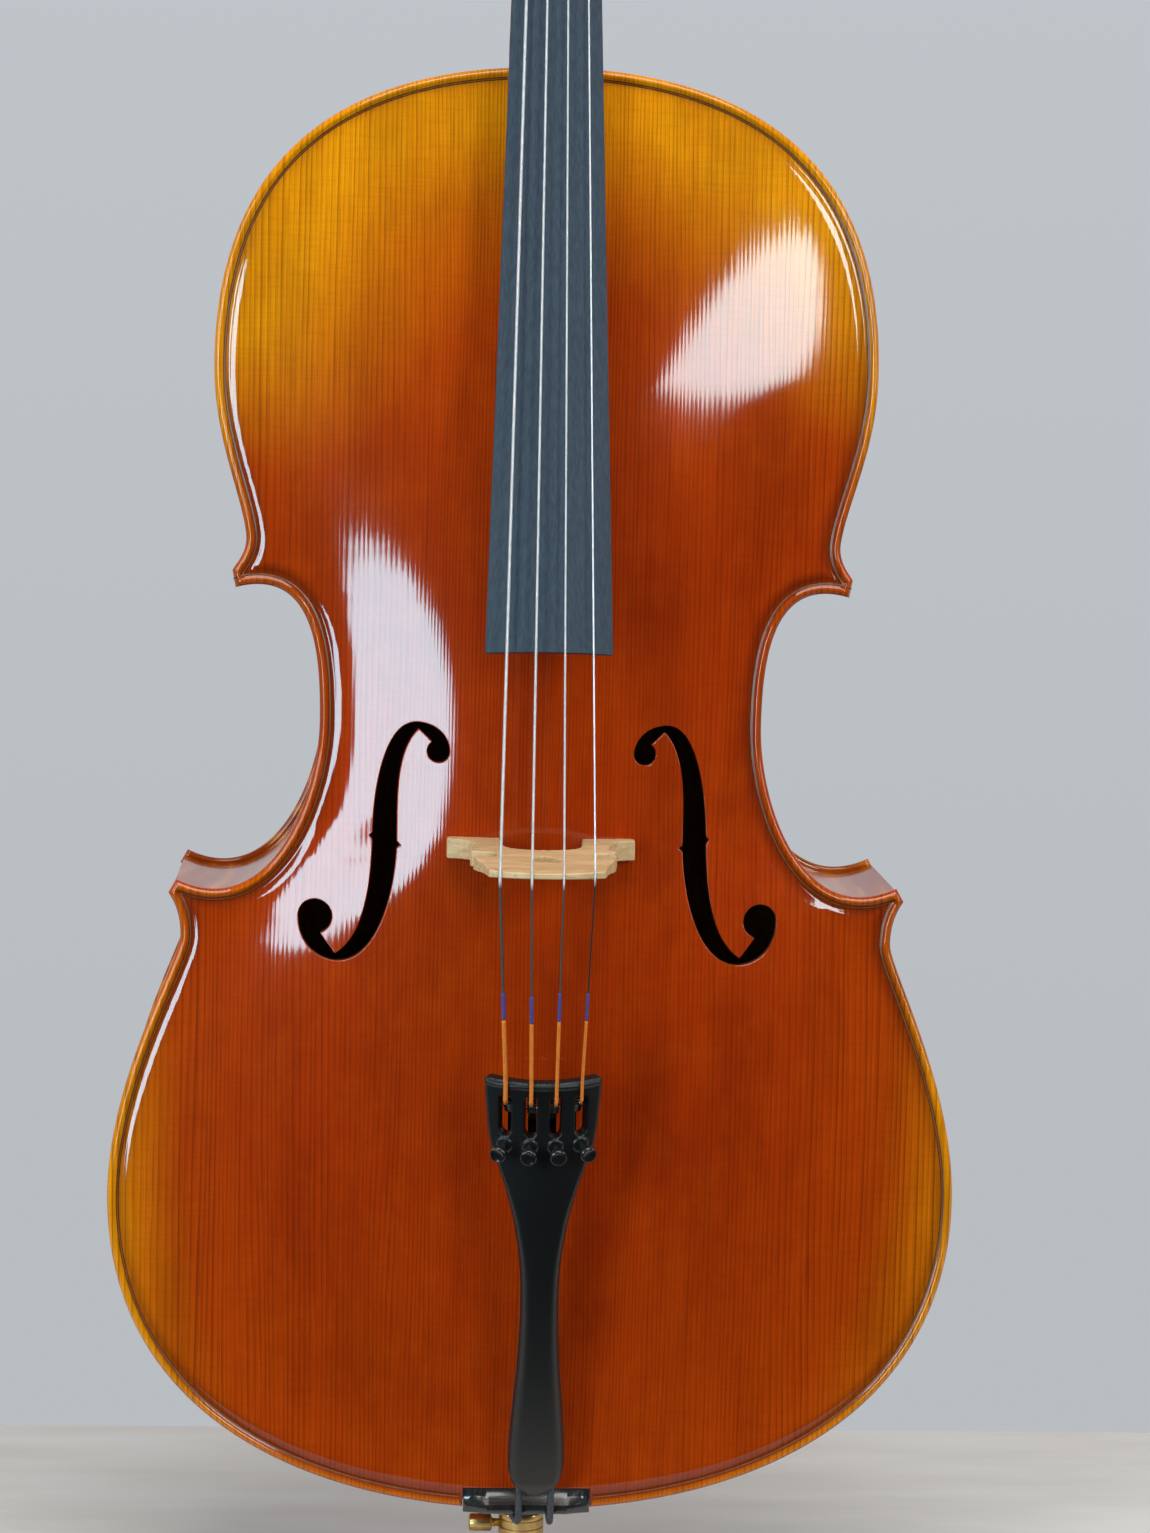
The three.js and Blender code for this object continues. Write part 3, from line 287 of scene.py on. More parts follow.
def add(name, points, faces, material, local=BODY, sharp=38, marks=None, **ties):
    """A piece from points in a local frame, its faces turned out."""
    mesh = new_mesh(name, points, faces, local, marks or {})
    bm = bmesh.new()
    bm.from_mesh(mesh)
    bmesh.ops.recalc_face_normals(bm, faces=bm.faces)
    bm.to_mesh(mesh)
    bm.free()
    finish_mesh(name, mesh, [material], sharp, **ties)


def loft_faces(rows, count, caps=True):
    """Quads between rows of equally many points, and a cap at each end."""
    faces = []
    for r in range(rows - 1):
        for i in range(count):
            j = (i + 1) % count
            faces.append((r * count + i, r * count + j, (r + 1) * count + j, (r + 1) * count + i))
    if caps:
        faces.append(tuple(range(count))[::-1])
        faces.append(tuple(range((rows - 1) * count, rows * count)))
    return faces


def loft(name, rings, material, **options):
    rings = [np.asarray(ring, float) for ring in rings]
    add(name, np.vstack(rings), loft_faces(len(rings), len(rings[0])), material, **options)


def turns(sides):
    """Evenly spaced angles of a full turn."""
    return np.linspace(0, 2 * np.pi, sides, endpoint=False)


def sections(path, sides):
    """For each point of a path, a ring of directions square to it. The rings don't twist."""
    along = np.gradient(path, axis=0)
    along /= np.linalg.norm(along, axis=1)[:, None]
    side = np.cross(along[0], [0.3, 1, 0.2])
    angles = turns(sides)[:, None]
    for direction in along:
        side = side - direction * side.dot(direction)
        side /= np.linalg.norm(side)
        yield np.cos(angles) * side + np.sin(angles) * np.cross(direction, side)


def sweep(name, path, radius, material, sides=12, **options):
    """A round tube through points of a local frame. radius is one number, or one for each point."""
    path = np.asarray(path, float)
    radii = np.broadcast_to(radius, len(path))
    rings = [point + r * ring for point, r, ring in zip(path, radii, sections(path, sides))]
    loft(name, rings, material, sharp=None, **options)


def lathe(name, profile, axis, material, sides=48, **options):
    """A turned piece from [radius, height] pairs from axis to axis. axis maps +Z to where it stands."""
    angles = turns(sides)
    points, faces, rows = [], [], []
    for radius, height in profile:
        if radius < 1e-6:
            rows.append([len(points)] * sides)
            points.append((0, 0, height))
        else:
            rows.append([len(points) + i for i in range(sides)])
            points.extend((radius * math.cos(a), radius * math.sin(a), height) for a in angles)
    for low, high in zip(rows[:-1], rows[1:]):
        for i in range(sides):
            j = (i + 1) % sides
            face = list(dict.fromkeys([low[i], low[j], high[j], high[i]]))
            if len(face) > 2:
                faces.append(face)
    add(name, points, faces, material, local=axis, **options)


def ring_lathe(name, profile, axis, material, sides=48, **options):
    """A turned ring, from a closed list of [radius, height]."""
    rows = [[(r * math.cos(a), r * math.sin(a), h) for a in turns(sides)] for r, h in profile]
    count = len(rows) * sides
    faces = [[i % count for i in face] for face in loft_faces(len(rows) + 1, sides, caps=False)]
    add(name, np.vstack(rows), faces, material, local=axis, **options)


JOINED = 0.05  # mm between two faces that count as meeting
JUST_INSIDE = 0.02  # mm from the border, where its slopes are read
NEAR_FACE, FAR_FACE, WALL = 0, 1, 2


def sloped(height, step, most):
    """A face for plan_solid from its height alone: slopes come from differences, and end at most."""
    def face(plan):
        rates = [(height(plan + d) - height(plan - d)) / (2 * step) for d in ([step, 0], [0, step])]
        return height(plan), np.clip(np.column_stack(rates), -most, most)

    return face


def plan_solid(name, loops, extra, near, far, materials,
               local=BODY, marks=None, shows=None, far_shift=None, **ties):
    """A sheet cut to a plan. loops are closed lines, the outer one and then its holes; extra are more points.

    near and far give each face's height over the plan and its slope there. The plan's axes are the local x
    and z, and the height is the local y. Where the two heights meet, the sheet closes on itself, and elsewhere
    a wall joins them. materials are for the near face, the far face and the walls. Where shows is true, the far
    face has the near one's. far_shift moves the far face along x.
    """
    points, edges = [], []
    for loop in loops:
        start = len(points)
        points.extend(loop)
        edges.extend((start + i, start + (i + 1) % len(loop)) for i in range(len(loop)))
    points.extend(extra)
    made = delaunay_2d_cdt([Vector(p) for p in points], edges, [], 0, 1e-5)
    plan = np.array([tuple(v) for v in made[0]])
    triangles = np.array(made[2])
    middles = plan[triangles].mean(1)
    kept = inside(middles, np.asarray(loops[0]))
    for loop in loops[1:]:
        kept &= ~inside(middles, np.asarray(loop))
    triangles = triangles[kept]
    used = np.unique(triangles)
    renumber = np.full(len(plan), -1)
    renumber[used] = np.arange(len(used))
    plan, triangles = plan[used], renumber[triangles]

    (top, top_slope), (bottom, bottom_slope) = near(plan), far(plan)
    count = len(plan)
    directed = {(t[k], t[(k + 1) % 3]) for t in triangles for k in range(3)}
    border = sorted((a, b) for a, b in directed if (b, a) not in directed)
    rim = np.unique(border)
    pull = np.zeros((count, 2))
    corners = triangles.ravel()
    np.add.at(pull, corners, np.repeat(plan[triangles].mean(1), 3, axis=0) - plan[corners])
    just_inside = plan[rim] + JUST_INSIDE * pull[rim] / np.linalg.norm(pull[rim], axis=1)[:, None]
    top_slope[rim], bottom_slope[rim] = near(just_inside)[1], far(just_inside)[1]
    joined = np.abs(top - bottom) < JOINED
    lower = np.where(joined, np.arange(count), np.arange(count) + count)
    shift = far_shift(plan) if far_shift else 0
    outward = 1 if (top - bottom).mean() > 0 else -1
    mirrored = Matrix(local).to_3x3().determinant() < 0

    def normals(slope, sign):
        n = np.column_stack([-slope[:, 0], np.ones(count), -slope[:, 1]]) * sign
        return n / np.linalg.norm(n, axis=1)[:, None]

    solid = np.vstack([
        np.column_stack([plan[:, 0], top, plan[:, 1]]),
        np.column_stack([plan[:, 0] + shift, bottom, plan[:, 1]]),
    ])
    normal = np.vstack([normals(top_slope, outward), normals(bottom_slope, -outward)])
    open_border = [(a, b) for a, b in border if not (joined[a] and joined[b])]
    walls = [tuple(dict.fromkeys([b, a, lower[a], lower[b]])) for a, b in open_border]
    faces = [tuple(t) for t in triangles] + [tuple(lower[t][::-1]) for t in triangles] + walls
    far_kinds = [FAR_FACE] * len(triangles)
    if shows:
        far_kinds = [NEAR_FACE if showing else FAR_FACE for showing in shows(plan[triangles].mean(1))]
    kinds = [NEAR_FACE] * len(triangles) + far_kinds + [WALL] * len(walls)
    if (outward > 0) != mirrored:
        faces = [face[::-1] for face in faces]

    plan_marks = marks(plan) if marks else {}
    solid_marks = {key: np.tile(values, 2) for key, values in plan_marks.items()}
    mesh = new_mesh(name, solid, faces, local, solid_marks)
    mesh.polygons.foreach_set("material_index", [min(k, len(materials) - 1) for k in kinds])
    finish_mesh(name, mesh, materials, None, **ties)
    turned = normal @ np.array(local)[:3, :3].T
    corner_normals = []
    for polygon, kind in zip(mesh.polygons, kinds):
        for v in polygon.vertices:
            corner_normals.append(polygon.normal if kind == WALL else turned[v])
    mesh.normals_split_custom_set([tuple(n) for n in corner_normals])


# ---------------------------------------------------------------- materials

class Value:
    """The output of a node. Sums and products of values make math nodes."""

    def __init__(self, nodes, socket):
        self.nodes, self.socket = nodes, socket

    def __add__(self, other):
        return self.nodes.math("ADD", self, other)

    def __mul__(self, other):
        return self.nodes.math("MULTIPLY", self, other)


class Nodes:
    """A node tree. Colours are three numbers."""

    def __init__(self, tree):
        self.tree = tree

    def connect(self, socket, value):
        if isinstance(value, Value):
            self.tree.links.new(value.socket, socket)
        elif socket.type == "RGBA":
            socket.default_value = (*value, 1)
        else:
            socket.default_value = value

    def node(self, kind, *inputs, output=0, **settings):
        """A new node's output, with its first inputs connected."""
        made = self.tree.nodes.new(kind)
        for key, value in settings.items():
            setattr(made, key, value)
        for socket, value in zip(made.inputs, inputs):
            if value is not None:
                self.connect(socket, value)
        return Value(self, made.outputs[output])

    def named(self, kind, output=0, **inputs):
        """A new node's output, with its inputs by name."""
        made = self.tree.nodes.new(kind)
        for key, value in inputs.items():
            self.connect(made.inputs[key.replace("_", " ")], value)
        return Value(self, made.outputs[output])

    def math(self, operation, *inputs):
        return self.node("ShaderNodeMath", *inputs, operation=operation)

    def ramp(self, value, *stops):
        made = self.node("ShaderNodeValToRGB", value)
        elements = made.socket.node.color_ramp.elements
        while len(elements) < len(stops):
            elements.new(0.5)
        for element, (place, colour) in zip(elements, stops):
            element.position = place
            element.color = (*colour, 1)
        return made

    def mix(self, share, a, b):
        """Colour a where share is 0, and b where it is 1."""
        unused = [None] * 5
        return self.node("ShaderNodeMix", share, *unused, a, b, output=2, data_type="RGBA")


class Shader(Nodes):
    """A node material round one Principled shader, with constants for the sockets of that shader."""

    def __init__(self, name, **constants):
        self.material = bpy.data.materials.new(name)
        self.material.use_nodes = True
        super().__init__(self.material.node_tree)
        self.where = self.node("ShaderNodeTexCoord", output="Object")
        self.set(**constants)

    def set(self, **inputs):
        """Connects the shader's sockets, and returns the material."""
        for key, value in inputs.items():
            self.connect(self.tree.nodes["Principled BSDF"].inputs[key.replace("_", " ")], value)
        return self.material

    def axis(self, which):
        return self.node("ShaderNodeSeparateXYZ", self.where, output=which)

    def noise(self, scale, detail=3.0, rough=0.5, at=None):
        """Noise at a place in metres times a number for each axis."""
        scaled = self.node("ShaderNodeVectorMath", at or self.where, scale, operation="MULTIPLY")
        return self.named("ShaderNodeTexNoise", "Fac", Vector=scaled, Scale=1, Detail=detail, Roughness=rough)

    def band(self, value, low, high):
        """0 at low, 1 at high, smoothly."""
        return self.node("ShaderNodeMapRange", value, low, high, 0.0, 1.0, interpolation_type="SMOOTHSTEP")

    def mark(self, name):
        return self.node("ShaderNodeAttribute", output="Fac", attribute_name=name)

    def bump(self, height, distance, under=None):
        inputs = {"Normal": under} if under else {}
        return self.named("ShaderNodeBump", Strength=1.0, Distance=distance, Height=height, **inputs)


FULL_TURN = 2 * math.pi
# Painted shade: the colour that the edge channels of the front and the back are darkened towards.
PAINTED_SHADE = (0.045, 0.006, 0.0012)
VARNISH = dict(Roughness=0.5, Specular_IOR_Level=0.02, Coat_Weight=1.0, Coat_IOR=1.48)
RING_PITCH = 1.75  # mm between year rings in the middle of the front
RING_OPENING = 2.0  # how much wider they grow for each metre from the middle
FLAME_PITCH = 0.0125  # m between the maple's flames


def spruce_grain(m):
    """Year rings along the body: their dark late wood and a smooth swell, both from 0 to 1."""
    x = m.math("ABSOLUTE", m.axis(0))
    opened = m.math("DIVIDE", x, x * RING_OPENING + 1.0)
    drift = m.noise((22, 22, 1.3), 2) * 7
    wander = m.noise((210, 60, 4), 2) * 0.9
    rings = m.math("DIVIDE", opened, RING_PITCH * MM) + drift + wander
    line = m.math("POWER", m.math("FRACT", rings), 2.6)
    uneven = m.band(m.noise((330, 40, 2.2), 2), 0.34, 0.64)
    flank = m.band(x, 0.09, 0.185) * 0.2 + 0.72
    late = line * flank * (uneven * 0.55 + 0.45)
    swell = (m.math("SINE", rings * FULL_TURN) + 1) * 0.5
    return late, swell


def varnished_spruce():
    """The front: reddish in the middle and golden at the flanks, by the marks "amber" and "shade". "amber" also
    carries a painted highlight along the edge crest, and "shade" a painted shade in the edge channel.
    """
    m = Shader("varnished_spruce", Coat_Roughness=0.055, **VARNISH)
    grain, swell = spruce_grain(m)
    amber = m.mark("amber") + (m.noise((11, 11, 5), 3) + -0.5) * 0.34
    cloud = m.noise((34, 34, 9), 4, 0.6)
    blotch = m.noise((75, 75, 48), 3, 0.6)
    body = m.ramp(
        amber,
        (0.0, (0.43, 0.032, 0.0008)),
        (0.3, (0.49, 0.052, 0.001)),
        (0.62, (0.68, 0.16, 0.0015)),
        (1.0, (0.95, 0.33, 0.002)),
    )
    colour = m.mix(m.band(cloud, 0.35, 0.7), body, m.mix(0.3, body, (0.12, 0.006, 0.0006)))
    colour = m.mix(m.band(blotch, 0.4, 0.75) * 0.3, colour, m.mix(0.5, body, (0.62, 0.09, 0.001)))
    fibre = m.noise((2600, 300, 26), 2)
    colour = m.mix(m.band(fibre, 0.45, 0.75) * 0.3, colour, (0.16, 0.010, 0.0006))
    rays = m.band(m.noise((55, 55, 900), 2), 0.45, 0.7)
    colour = m.mix(rays * 0.08, colour, (0.12, 0.007, 0.0005))
    colour = m.mix(grain * 0.78, colour, (0.10, 0.009, 0.0005))
    speck = m.band(m.noise((900, 900, 260), 1), 0.74, 0.82)
    colour = m.mix(speck * 0.35, colour, (0.07, 0.006, 0.0006))
    # Painted shade: the front's edge channel is darkened by the mark "shade".
    colour = m.mix(m.mark("shade") * 0.8, colour, PAINTED_SHADE)
    relief = swell * 0.7 + fibre * 0.5
    lumps = m.bump(m.noise((46, 46, 11), 2), 0.00006)
    coat = m.bump(relief, 0.000008, lumps)
    return m.set(Base_Color=colour, Normal=m.bump(relief, 0.00008), Coat_Normal=coat)


def varnished_maple():
    """Flamed maple: bands across the grain that come from the mark "figure", in metres along the grain."""
    m = Shader("varnished_maple", Coat_Roughness=0.065, **VARNISH)
    waved = m.mark("figure") + m.noise((8, 8, 8), 2) * 0.03
    bands = (m.math("SINE", waved * (FULL_TURN / FLAME_PITCH)) + 1) * 0.5
    strip = m.node("ShaderNodeCombineXYZ", waved, m.axis(1), m.axis(0))
    uneven = m.band(m.noise((95, 9, 9), 2, at=strip), 0.36, 0.62)
    flame = bands * uneven * 0.72 + uneven * 0.2
    cloud = m.band(m.noise((4, 4, 3), 3), 0.3, 0.7)
    deep = m.mix(cloud, (0.30, 0.036, 0.001), (0.36, 0.058, 0.0015))
    glow = m.mix(cloud, (0.62, 0.16, 0.003), (0.72, 0.24, 0.005))
    fleck = m.band(m.noise((700, 700, 90), 2), 0.58, 0.7)
    colour = m.mix(fleck * 0.28, m.mix(flame, deep, glow), (0.13, 0.014, 0.001))
    # Painted shade: the back's edge channel is darkened by the mark "shade".
    colour = m.mix(m.mark("shade") * 0.75, colour, PAINTED_SHADE)
    relief = m.noise((900, 900, 120), 2)
    return m.set(Base_Color=colour, Normal=m.bump(relief, 0.00006), Coat_Normal=m.bump(relief, 0.00002))


def plain_wood(name, pale, dark, roughness):
    """Streaked wood with darker pores, its grain along z."""
    m = Shader(name, Roughness=roughness)
    streak = m.noise((300, 300, 26), 4, 0.6)
    pore = m.noise((1020, 1020, 88.4), 2)
    colour = m.mix(m.band(streak, 0.3, 0.72), pale, dark)
    pored = m.mix(m.band(pore, 0.55, 0.7) * 0.45, colour, [0.5 * c for c in dark])
    return m.set(Base_Color=pored, Normal=m.bump(streak + pore, 0.00008))


def bridge_maple():
    """Quartered maple, with the brown ray flecks that its upright faces show."""
    m = Shader("bridge_maple", Roughness=0.5)
    streak = m.noise((26, 260, 420), 4, 0.6)
    colour = m.mix(m.band(streak, 0.3, 0.7), (0.74, 0.50, 0.26), (0.58, 0.355, 0.165))
    fleck = m.band(m.noise((170, 950, 950), 2), 0.6, 0.68)
    return m.set(Base_Color=m.mix(fleck * 0.5, colour, (0.33, 0.16, 0.06)), Normal=m.bump(streak, 0.00006))


def dark_surface(name, colour, pale, roughness, grain, relief, **constants):
    """Ebony, resin, rubber and black metal: a little mottled, with relief at the grain's scale."""
    m = Shader(name, **constants)
    fine = m.noise(grain, 3, 0.6)
    broad = m.noise((24, 24, 9), 3)
    return m.set(
        Base_Color=m.mix(m.band(fine, 0.3, 0.75), colour, pale),
        Roughness=broad * 0.12 + (roughness - 0.06),
        Normal=m.bump(fine, relief),
    )


def metal(name, colour, roughness, scale, tarnish):
    """Bright metal with fine scratches and a patchy tarnish."""
    m = Shader(name, Metallic=1.0)
    scratch = m.noise(scale, 3, 0.6)
    dull = m.noise((110, 110, 110), 3)
    return m.set(
        Base_Color=m.mix(m.band(dull, 0.45, 0.75) * 0.5, colour, tarnish),
        Roughness=dull * 0.16 + roughness,
        Normal=m.bump(scratch, 0.00001),
    )


def wound(name, colour, pitch, depth, metallic, roughness, fuzz=0.0):
    """Wire or silk wound round a string: rings by the mark "along", in metres, and a painted shade that darkens it
    where the afterlength mark is 1.
    """
    m = Shader(name, Metallic=metallic, Roughness=roughness)
    rings = m.math("SINE", m.mark("along") * (FULL_TURN / pitch))
    wear = m.noise((900, 900, 140), 3)
    toned = m.mix(m.band(wear, 0.3, 0.8), colour, [0.8 * c for c in colour])
    return m.set(
        # Painted shade: the afterlength below the bridge is darkened towards this colour.
        Base_Color=m.mix(m.mark("dull"), toned, (0.13, 0.10, 0.085)),
        Normal=m.bump(rings + wear * fuzz, depth),
    )


def speckled(size):
    """The same grain along all three axes."""
    return (size, size, size)


SPRUCE = varnished_spruce()
MAPLE = varnished_maple()
RAW = plain_wood("raw_wood", (0.58, 0.40, 0.21), (0.44, 0.27, 0.12), 0.75)
INSIDE = plain_wood("inside_wood", (0.55, 0.38, 0.22), (0.42, 0.27, 0.14), 0.8)
HOLE_WALL = plain_wood("hole_wall", (0.10, 0.03, 0.008), (0.05, 0.015, 0.004), 0.5)
PURFLING_PALE = plain_wood("purfling_pale", (0.30, 0.075, 0.006), (0.22, 0.045, 0.004), 0.35)
BRIDGE_WOOD = bridge_maple()
# The board's slate-blue base colour is partly dusty ebony and partly a painted reflection of the grey room.
BOARD_EBONY_PAINTED_SHEEN = dark_surface(
    "board_ebony_painted_sheen", (0.034, 0.048, 0.066), (0.052, 0.071, 0.095), 0.5, (900, 900, 40), 0.00002,
    Specular_IOR_Level=0.16,
)
EBONY = dark_surface(
    "ebony", (0.010, 0.010, 0.011), (0.028, 0.026, 0.025), 0.2, (900, 900, 60), 0.00001,
    Coat_Weight=0.6, Coat_Roughness=0.12,
)
PURFLING_BLACK = dark_surface(
    "purfling_black", (0.008, 0.006, 0.005), (0.016, 0.010, 0.007), 0.3, speckled(500), 0.00001,
)
RESIN = dark_surface(
    "black_resin", (0.0045, 0.0045, 0.0047), (0.0075, 0.0075, 0.0078), 0.36, speckled(2600), 0.00001,
)
BLACK_METAL = dark_surface(
    "black_metal", (0.006, 0.006, 0.007), (0.012, 0.012, 0.013), 0.2, speckled(1500), 0.000006,
    Specular_IOR_Level=0.8,
)
RUBBER = dark_surface("rubber", (0.012, 0.012, 0.012), (0.022, 0.022, 0.022), 0.75, speckled(1400), 0.00004)
CORD = dark_surface("cord", (0.022, 0.025, 0.030), (0.06, 0.068, 0.08), 0.5, speckled(700), 0.00005)
STEEL = metal("rod_steel", (0.56, 0.57, 0.58), 0.2, (900, 900, 30), (0.30, 0.30, 0.31))
BRASS = metal("brass", (0.62, 0.42, 0.16), 0.22, speckled(500), (0.30, 0.19, 0.08))
WOUND = wound("string_steel", (0.86, 0.87, 0.88), 0.00022, 0.00003, 1.0, 0.5)
PLAIN_STEEL = wound("string_core", (0.85, 0.85, 0.86), 0.0002, 0.000004, 1.0, 0.4)
PURPLE_SILK = wound("purple_silk", (0.07, 0.075, 0.34), 0.00032, 0.00005, 0.0, 0.7, 0.8)
ORANGE_SILK = wound("orange_silk", (1.0, 0.25, 0.015), 0.00034, 0.00005, 0.0, 0.7, 0.8)


# ---------------------------------------------------------------- plates

arch_half_width = table([
    (8, 30), (20, 105), (40, 150), (70, 183), (110, 206), (168, 215), (230, 205), (275, 188), (300, 172),
    (320, 156), (335, 141), (350, 127), (370, 114), (395, 108), (420, 107), (445, 109), (465, 113.5),
    (485, 120), (510, 131), (538, 145), (568, 157), (603, 163.5), (650, 157), (690, 141), (720, 115),
    (740, 80), (749, 30),
])
HALF_EDGE = EDGE / 2
ARCH_MIDDLE_Z, ARCH_HALF_LENGTH = 378, 371
CREST = (2.7, 1.4, 0.7)  # distance from the outline, half width and height of the raised edge
CHANNEL = (6.6, 2.7, -0.95)
HOLE_ROUNDING = 0.5


def arch(x, z):
    """The share of the arch's full height over a point of the plate."""
    along = np.minimum(1, np.abs((z - ARCH_MIDDLE_Z) / ARCH_HALF_LENGTH))
    across = np.minimum(1, np.abs(x) / arch_half_width(z))
    return (1 - along ** 2.6) ** 1.4 * (1 - across ** 2.1) ** 1.6


def arch_slope(x, z, step=0.5):
    """How the arch's share changes along x and z."""
    return np.column_stack([
        (arch(x + step, z) - arch(x - step, z)) / (2 * step),
        (arch(x, z + step) - arch(x, z - step)) / (2 * step),
    ])


def rounding(distance, radius):
    """How far a rounded edge falls short of the flat, and its slope, at a distance from the edge."""
    t = np.clip(1 - distance / radius, 0, 1)
    root = np.sqrt(np.maximum(1 - t ** 2, 1e-3))
    return radius * (1 - np.sqrt(np.maximum(1 - t ** 2, 0))), np.where(distance < radius, -t / root, 0)


def hump(distance, at, width, height):
    """A smooth rise or channel along the edge, and its slope."""
    t = (distance - at) / width
    value = height * np.exp(-t ** 2)
    return value, -2 * t / width * value


def plate_faces(side, holes=()):
    """A plate's outer and inner faces. side is -1 for the front, which looks along -Y, and 1 for the back."""
    middle = 0 if side < 0 else BACK_Y

    def arched(plan):
        distance, away = to_outline(plan)
        fall, rate = rounding(distance, HALF_EDGE)
        height = ARCH_HEIGHT * arch(plan[:, 0], plan[:, 1])
        slope = ARCH_HEIGHT * arch_slope(plan[:, 0], plan[:, 1])
        return distance, away, height, slope, fall, rate[:, None] * away

    def outer(plan):
        distance, away, height, slope, fall, fall_slope = arched(plan)
        height += HALF_EDGE - fall
        slope -= fall_slope
        for shape in (CREST, CHANNEL):
            value, rate = hump(distance, *shape)
            fade = np.clip(distance / 0.8, 0, 1)
            height += value * fade
            slope += (rate * fade)[:, None] * away
        for hole in holes:
            distance, away = nearest(plan, shut(hole))
            fall, rate = rounding(distance, HOLE_ROUNDING)
            height -= fall
            slope -= rate[:, None] * away
        return middle + side * height, side * slope

    def inner(plan):
        _, _, height, slope, fall, fall_slope = arched(plan)
        return middle + side * (height - HALF_EDGE + fall), side * (slope + fall_slope)

    return outer, inner


def plate_points(holes=()):
    """Points over a plate: rings along its edge and holes, and a grid inside them."""
    rings = []
    for distance in (0.12, 0.5, 1.1, 1.8, 2.6, 3.5, 4.5, 5.6, 6.8, 8.2, 10, 12.5, 16):
        for line in mitred(distance):
            rings += [line, line * [-1, 1]]
    points = np.vstack(rings)
    points = points[(to_outline(points)[0] > 0.08) & inside(points, outline)]
    grid = grid_over(np.arange(-224, 224.1, 4.0), np.arange(4, 756, 4.0)) + [0.13, 0]
    grid = grid[inside(grid, outline)]
    grid = grid[to_outline(grid)[0] > 17.5]
    for hole in holes:
        closed = shut(hole)
        grid = grid[(nearest(grid, closed)[0] > 2.2) & ~inside(grid, hole)]
        points = points[nearest(points, closed)[0] > 2.2]
        for out in (0.12, 0.3, 0.55, 1.2):
            ring = hole + out * inward(closed)[:-1]
            clear = nearest(ring, closed)[0] > 0.9 * out
            grid = np.vstack([grid, ring[clear & ~inside(ring, hole)]])
    return np.vstack([points, grid])


def sound_hole():
    """The treble sound hole, with a nick at each side of its stem."""
    inner_nick, outer_nick = (73.8, 356.8), (87.0, 360.9)
    return resample(chain(
        [(63.7, 417.6), (57, 411.4)],
        arc((53.4, 406.2), 5.8, 58, -180, 30),
        bezier((47.6, 406.2), (47.6, 414), (54.5, 421), (64.5, 421), 16),
        bezier((64.5, 421), (81, 421), (86.5, 386), (86.75, 362.6), 24),
        [outer_nick + np.array([1.6, 0.2]), (86.8, 359.2)],
        bezier((86.8, 359.2), (87, 330), (92, 308), (105.4, 299.6), 30),
        [(112.8, 309.2)],
        arc((116, 318.4), 8.8, -108, -360, 44),
        bezier((124.8, 318.4), (124.8, 305), (115.5, 296), (104.5, 296), 20),
        bezier((104.5, 296), (86, 296), (75.5, 325), (74.3, 355.4), 30),
        [inner_nick + np.array([-1.6, 0.1]), (74.25, 358.8)],
        bezier((74.25, 358.8), (74.3, 380), (76, 405), (63.7, 417.6), 26),
    ), 0.9)[:-1]


def bell(value, at, width):
    """1 at a place, and down to 0 on both sides of it."""
    return np.exp(-((value - at) / width) ** 2)


def spruce_marks(plan):
    """Where the varnish is golden, with a painted highlight along the edge crest, and where painted shade darkens
    the edge channel.
    """
    x, z = plan[:, 0], plan[:, 1]
    distance, _ = to_outline(plan)
    upper = 1 / (1 + np.exp(-(z - 585) / 22))
    lower = bell(z, 165, 105)
    flank = upper * np.exp(-(distance / 62) ** 1.5) + 0.72 * lower * np.exp(-(distance / 36) ** 1.4)
    shoulder = 0.24 * bell(x, -105, 60) * bell(z, 640, 95) + 0.20 * bell(x, 90, 50) * bell(z, 690, 60)
    low = 0.07 * bell(z, 70, 80)
    # Painted highlight: the rounded edge crest is made more golden, and so lighter, all round the outline.
    crest = 0.75 * bell(distance, 2.2, 1.9)
    centre = 0.14 * bell(x, 0, 120) * upper
    amber = np.clip(0.06 + flank + shoulder + low + centre, 0, 1)
    # Painted shade: the recessed channel inside the edge is darkened, less so where the varnish is golden.
    channel = 0.62 * bell(distance, 7.2, 3.4) * (1 - crest)
    toned = np.clip(amber + crest * (0.45 + 0.55 * amber), 0, 1)
    return {"amber": toned, "shade": channel * (1 - 0.45 * amber)}


def maple_marks(plan):
    """Flames that slope down from the middle of the back, and painted shade in its edge channel."""
    along = (plan[:, 1] + 0.22 * np.abs(plan[:, 0])) * MM
    return {"figure": along, "shade": 0.6 * bell(to_outline(plan)[0], 7.2, 3.4)}


def in_overhang(plan):
    """Which places lie outside the ribs."""
    return to_outline(plan)[0] < OVERHANG + RIB_THICKNESS / 2


treble_hole = sound_hole()
bass_hole = (treble_hole * [-1, 1])[::-1]
NECK_SLOT = (22.6, 743.7)  # half width and level of the notch
SADDLE_SLOT = (33.8, 12.0)


def notched(points, half, level, top):
    """An outline with a square notch cut into its upper or lower end. It starts at its other end."""
    other_end = points[:, 1].argmin() if top else points[:, 1].argmax()
    points = np.roll(points, -int(other_end), axis=0)
    in_notch = (np.abs(points[:, 0]) < half + 0.3) & ((points[:, 1] > BODY_LENGTH / 2) == top)
    first, last = np.nonzero(in_notch)[0][[0, -1]]
    before, after = points[first - 1], points[last + 1]
    side = 1 if before[0] > 0 else -1
    notch = [(side * half, before[1]), (side * half, level), (-side * half, level), (-side * half, after[1])]
    return np.vstack([points[:first], notch, points[last + 1:]])


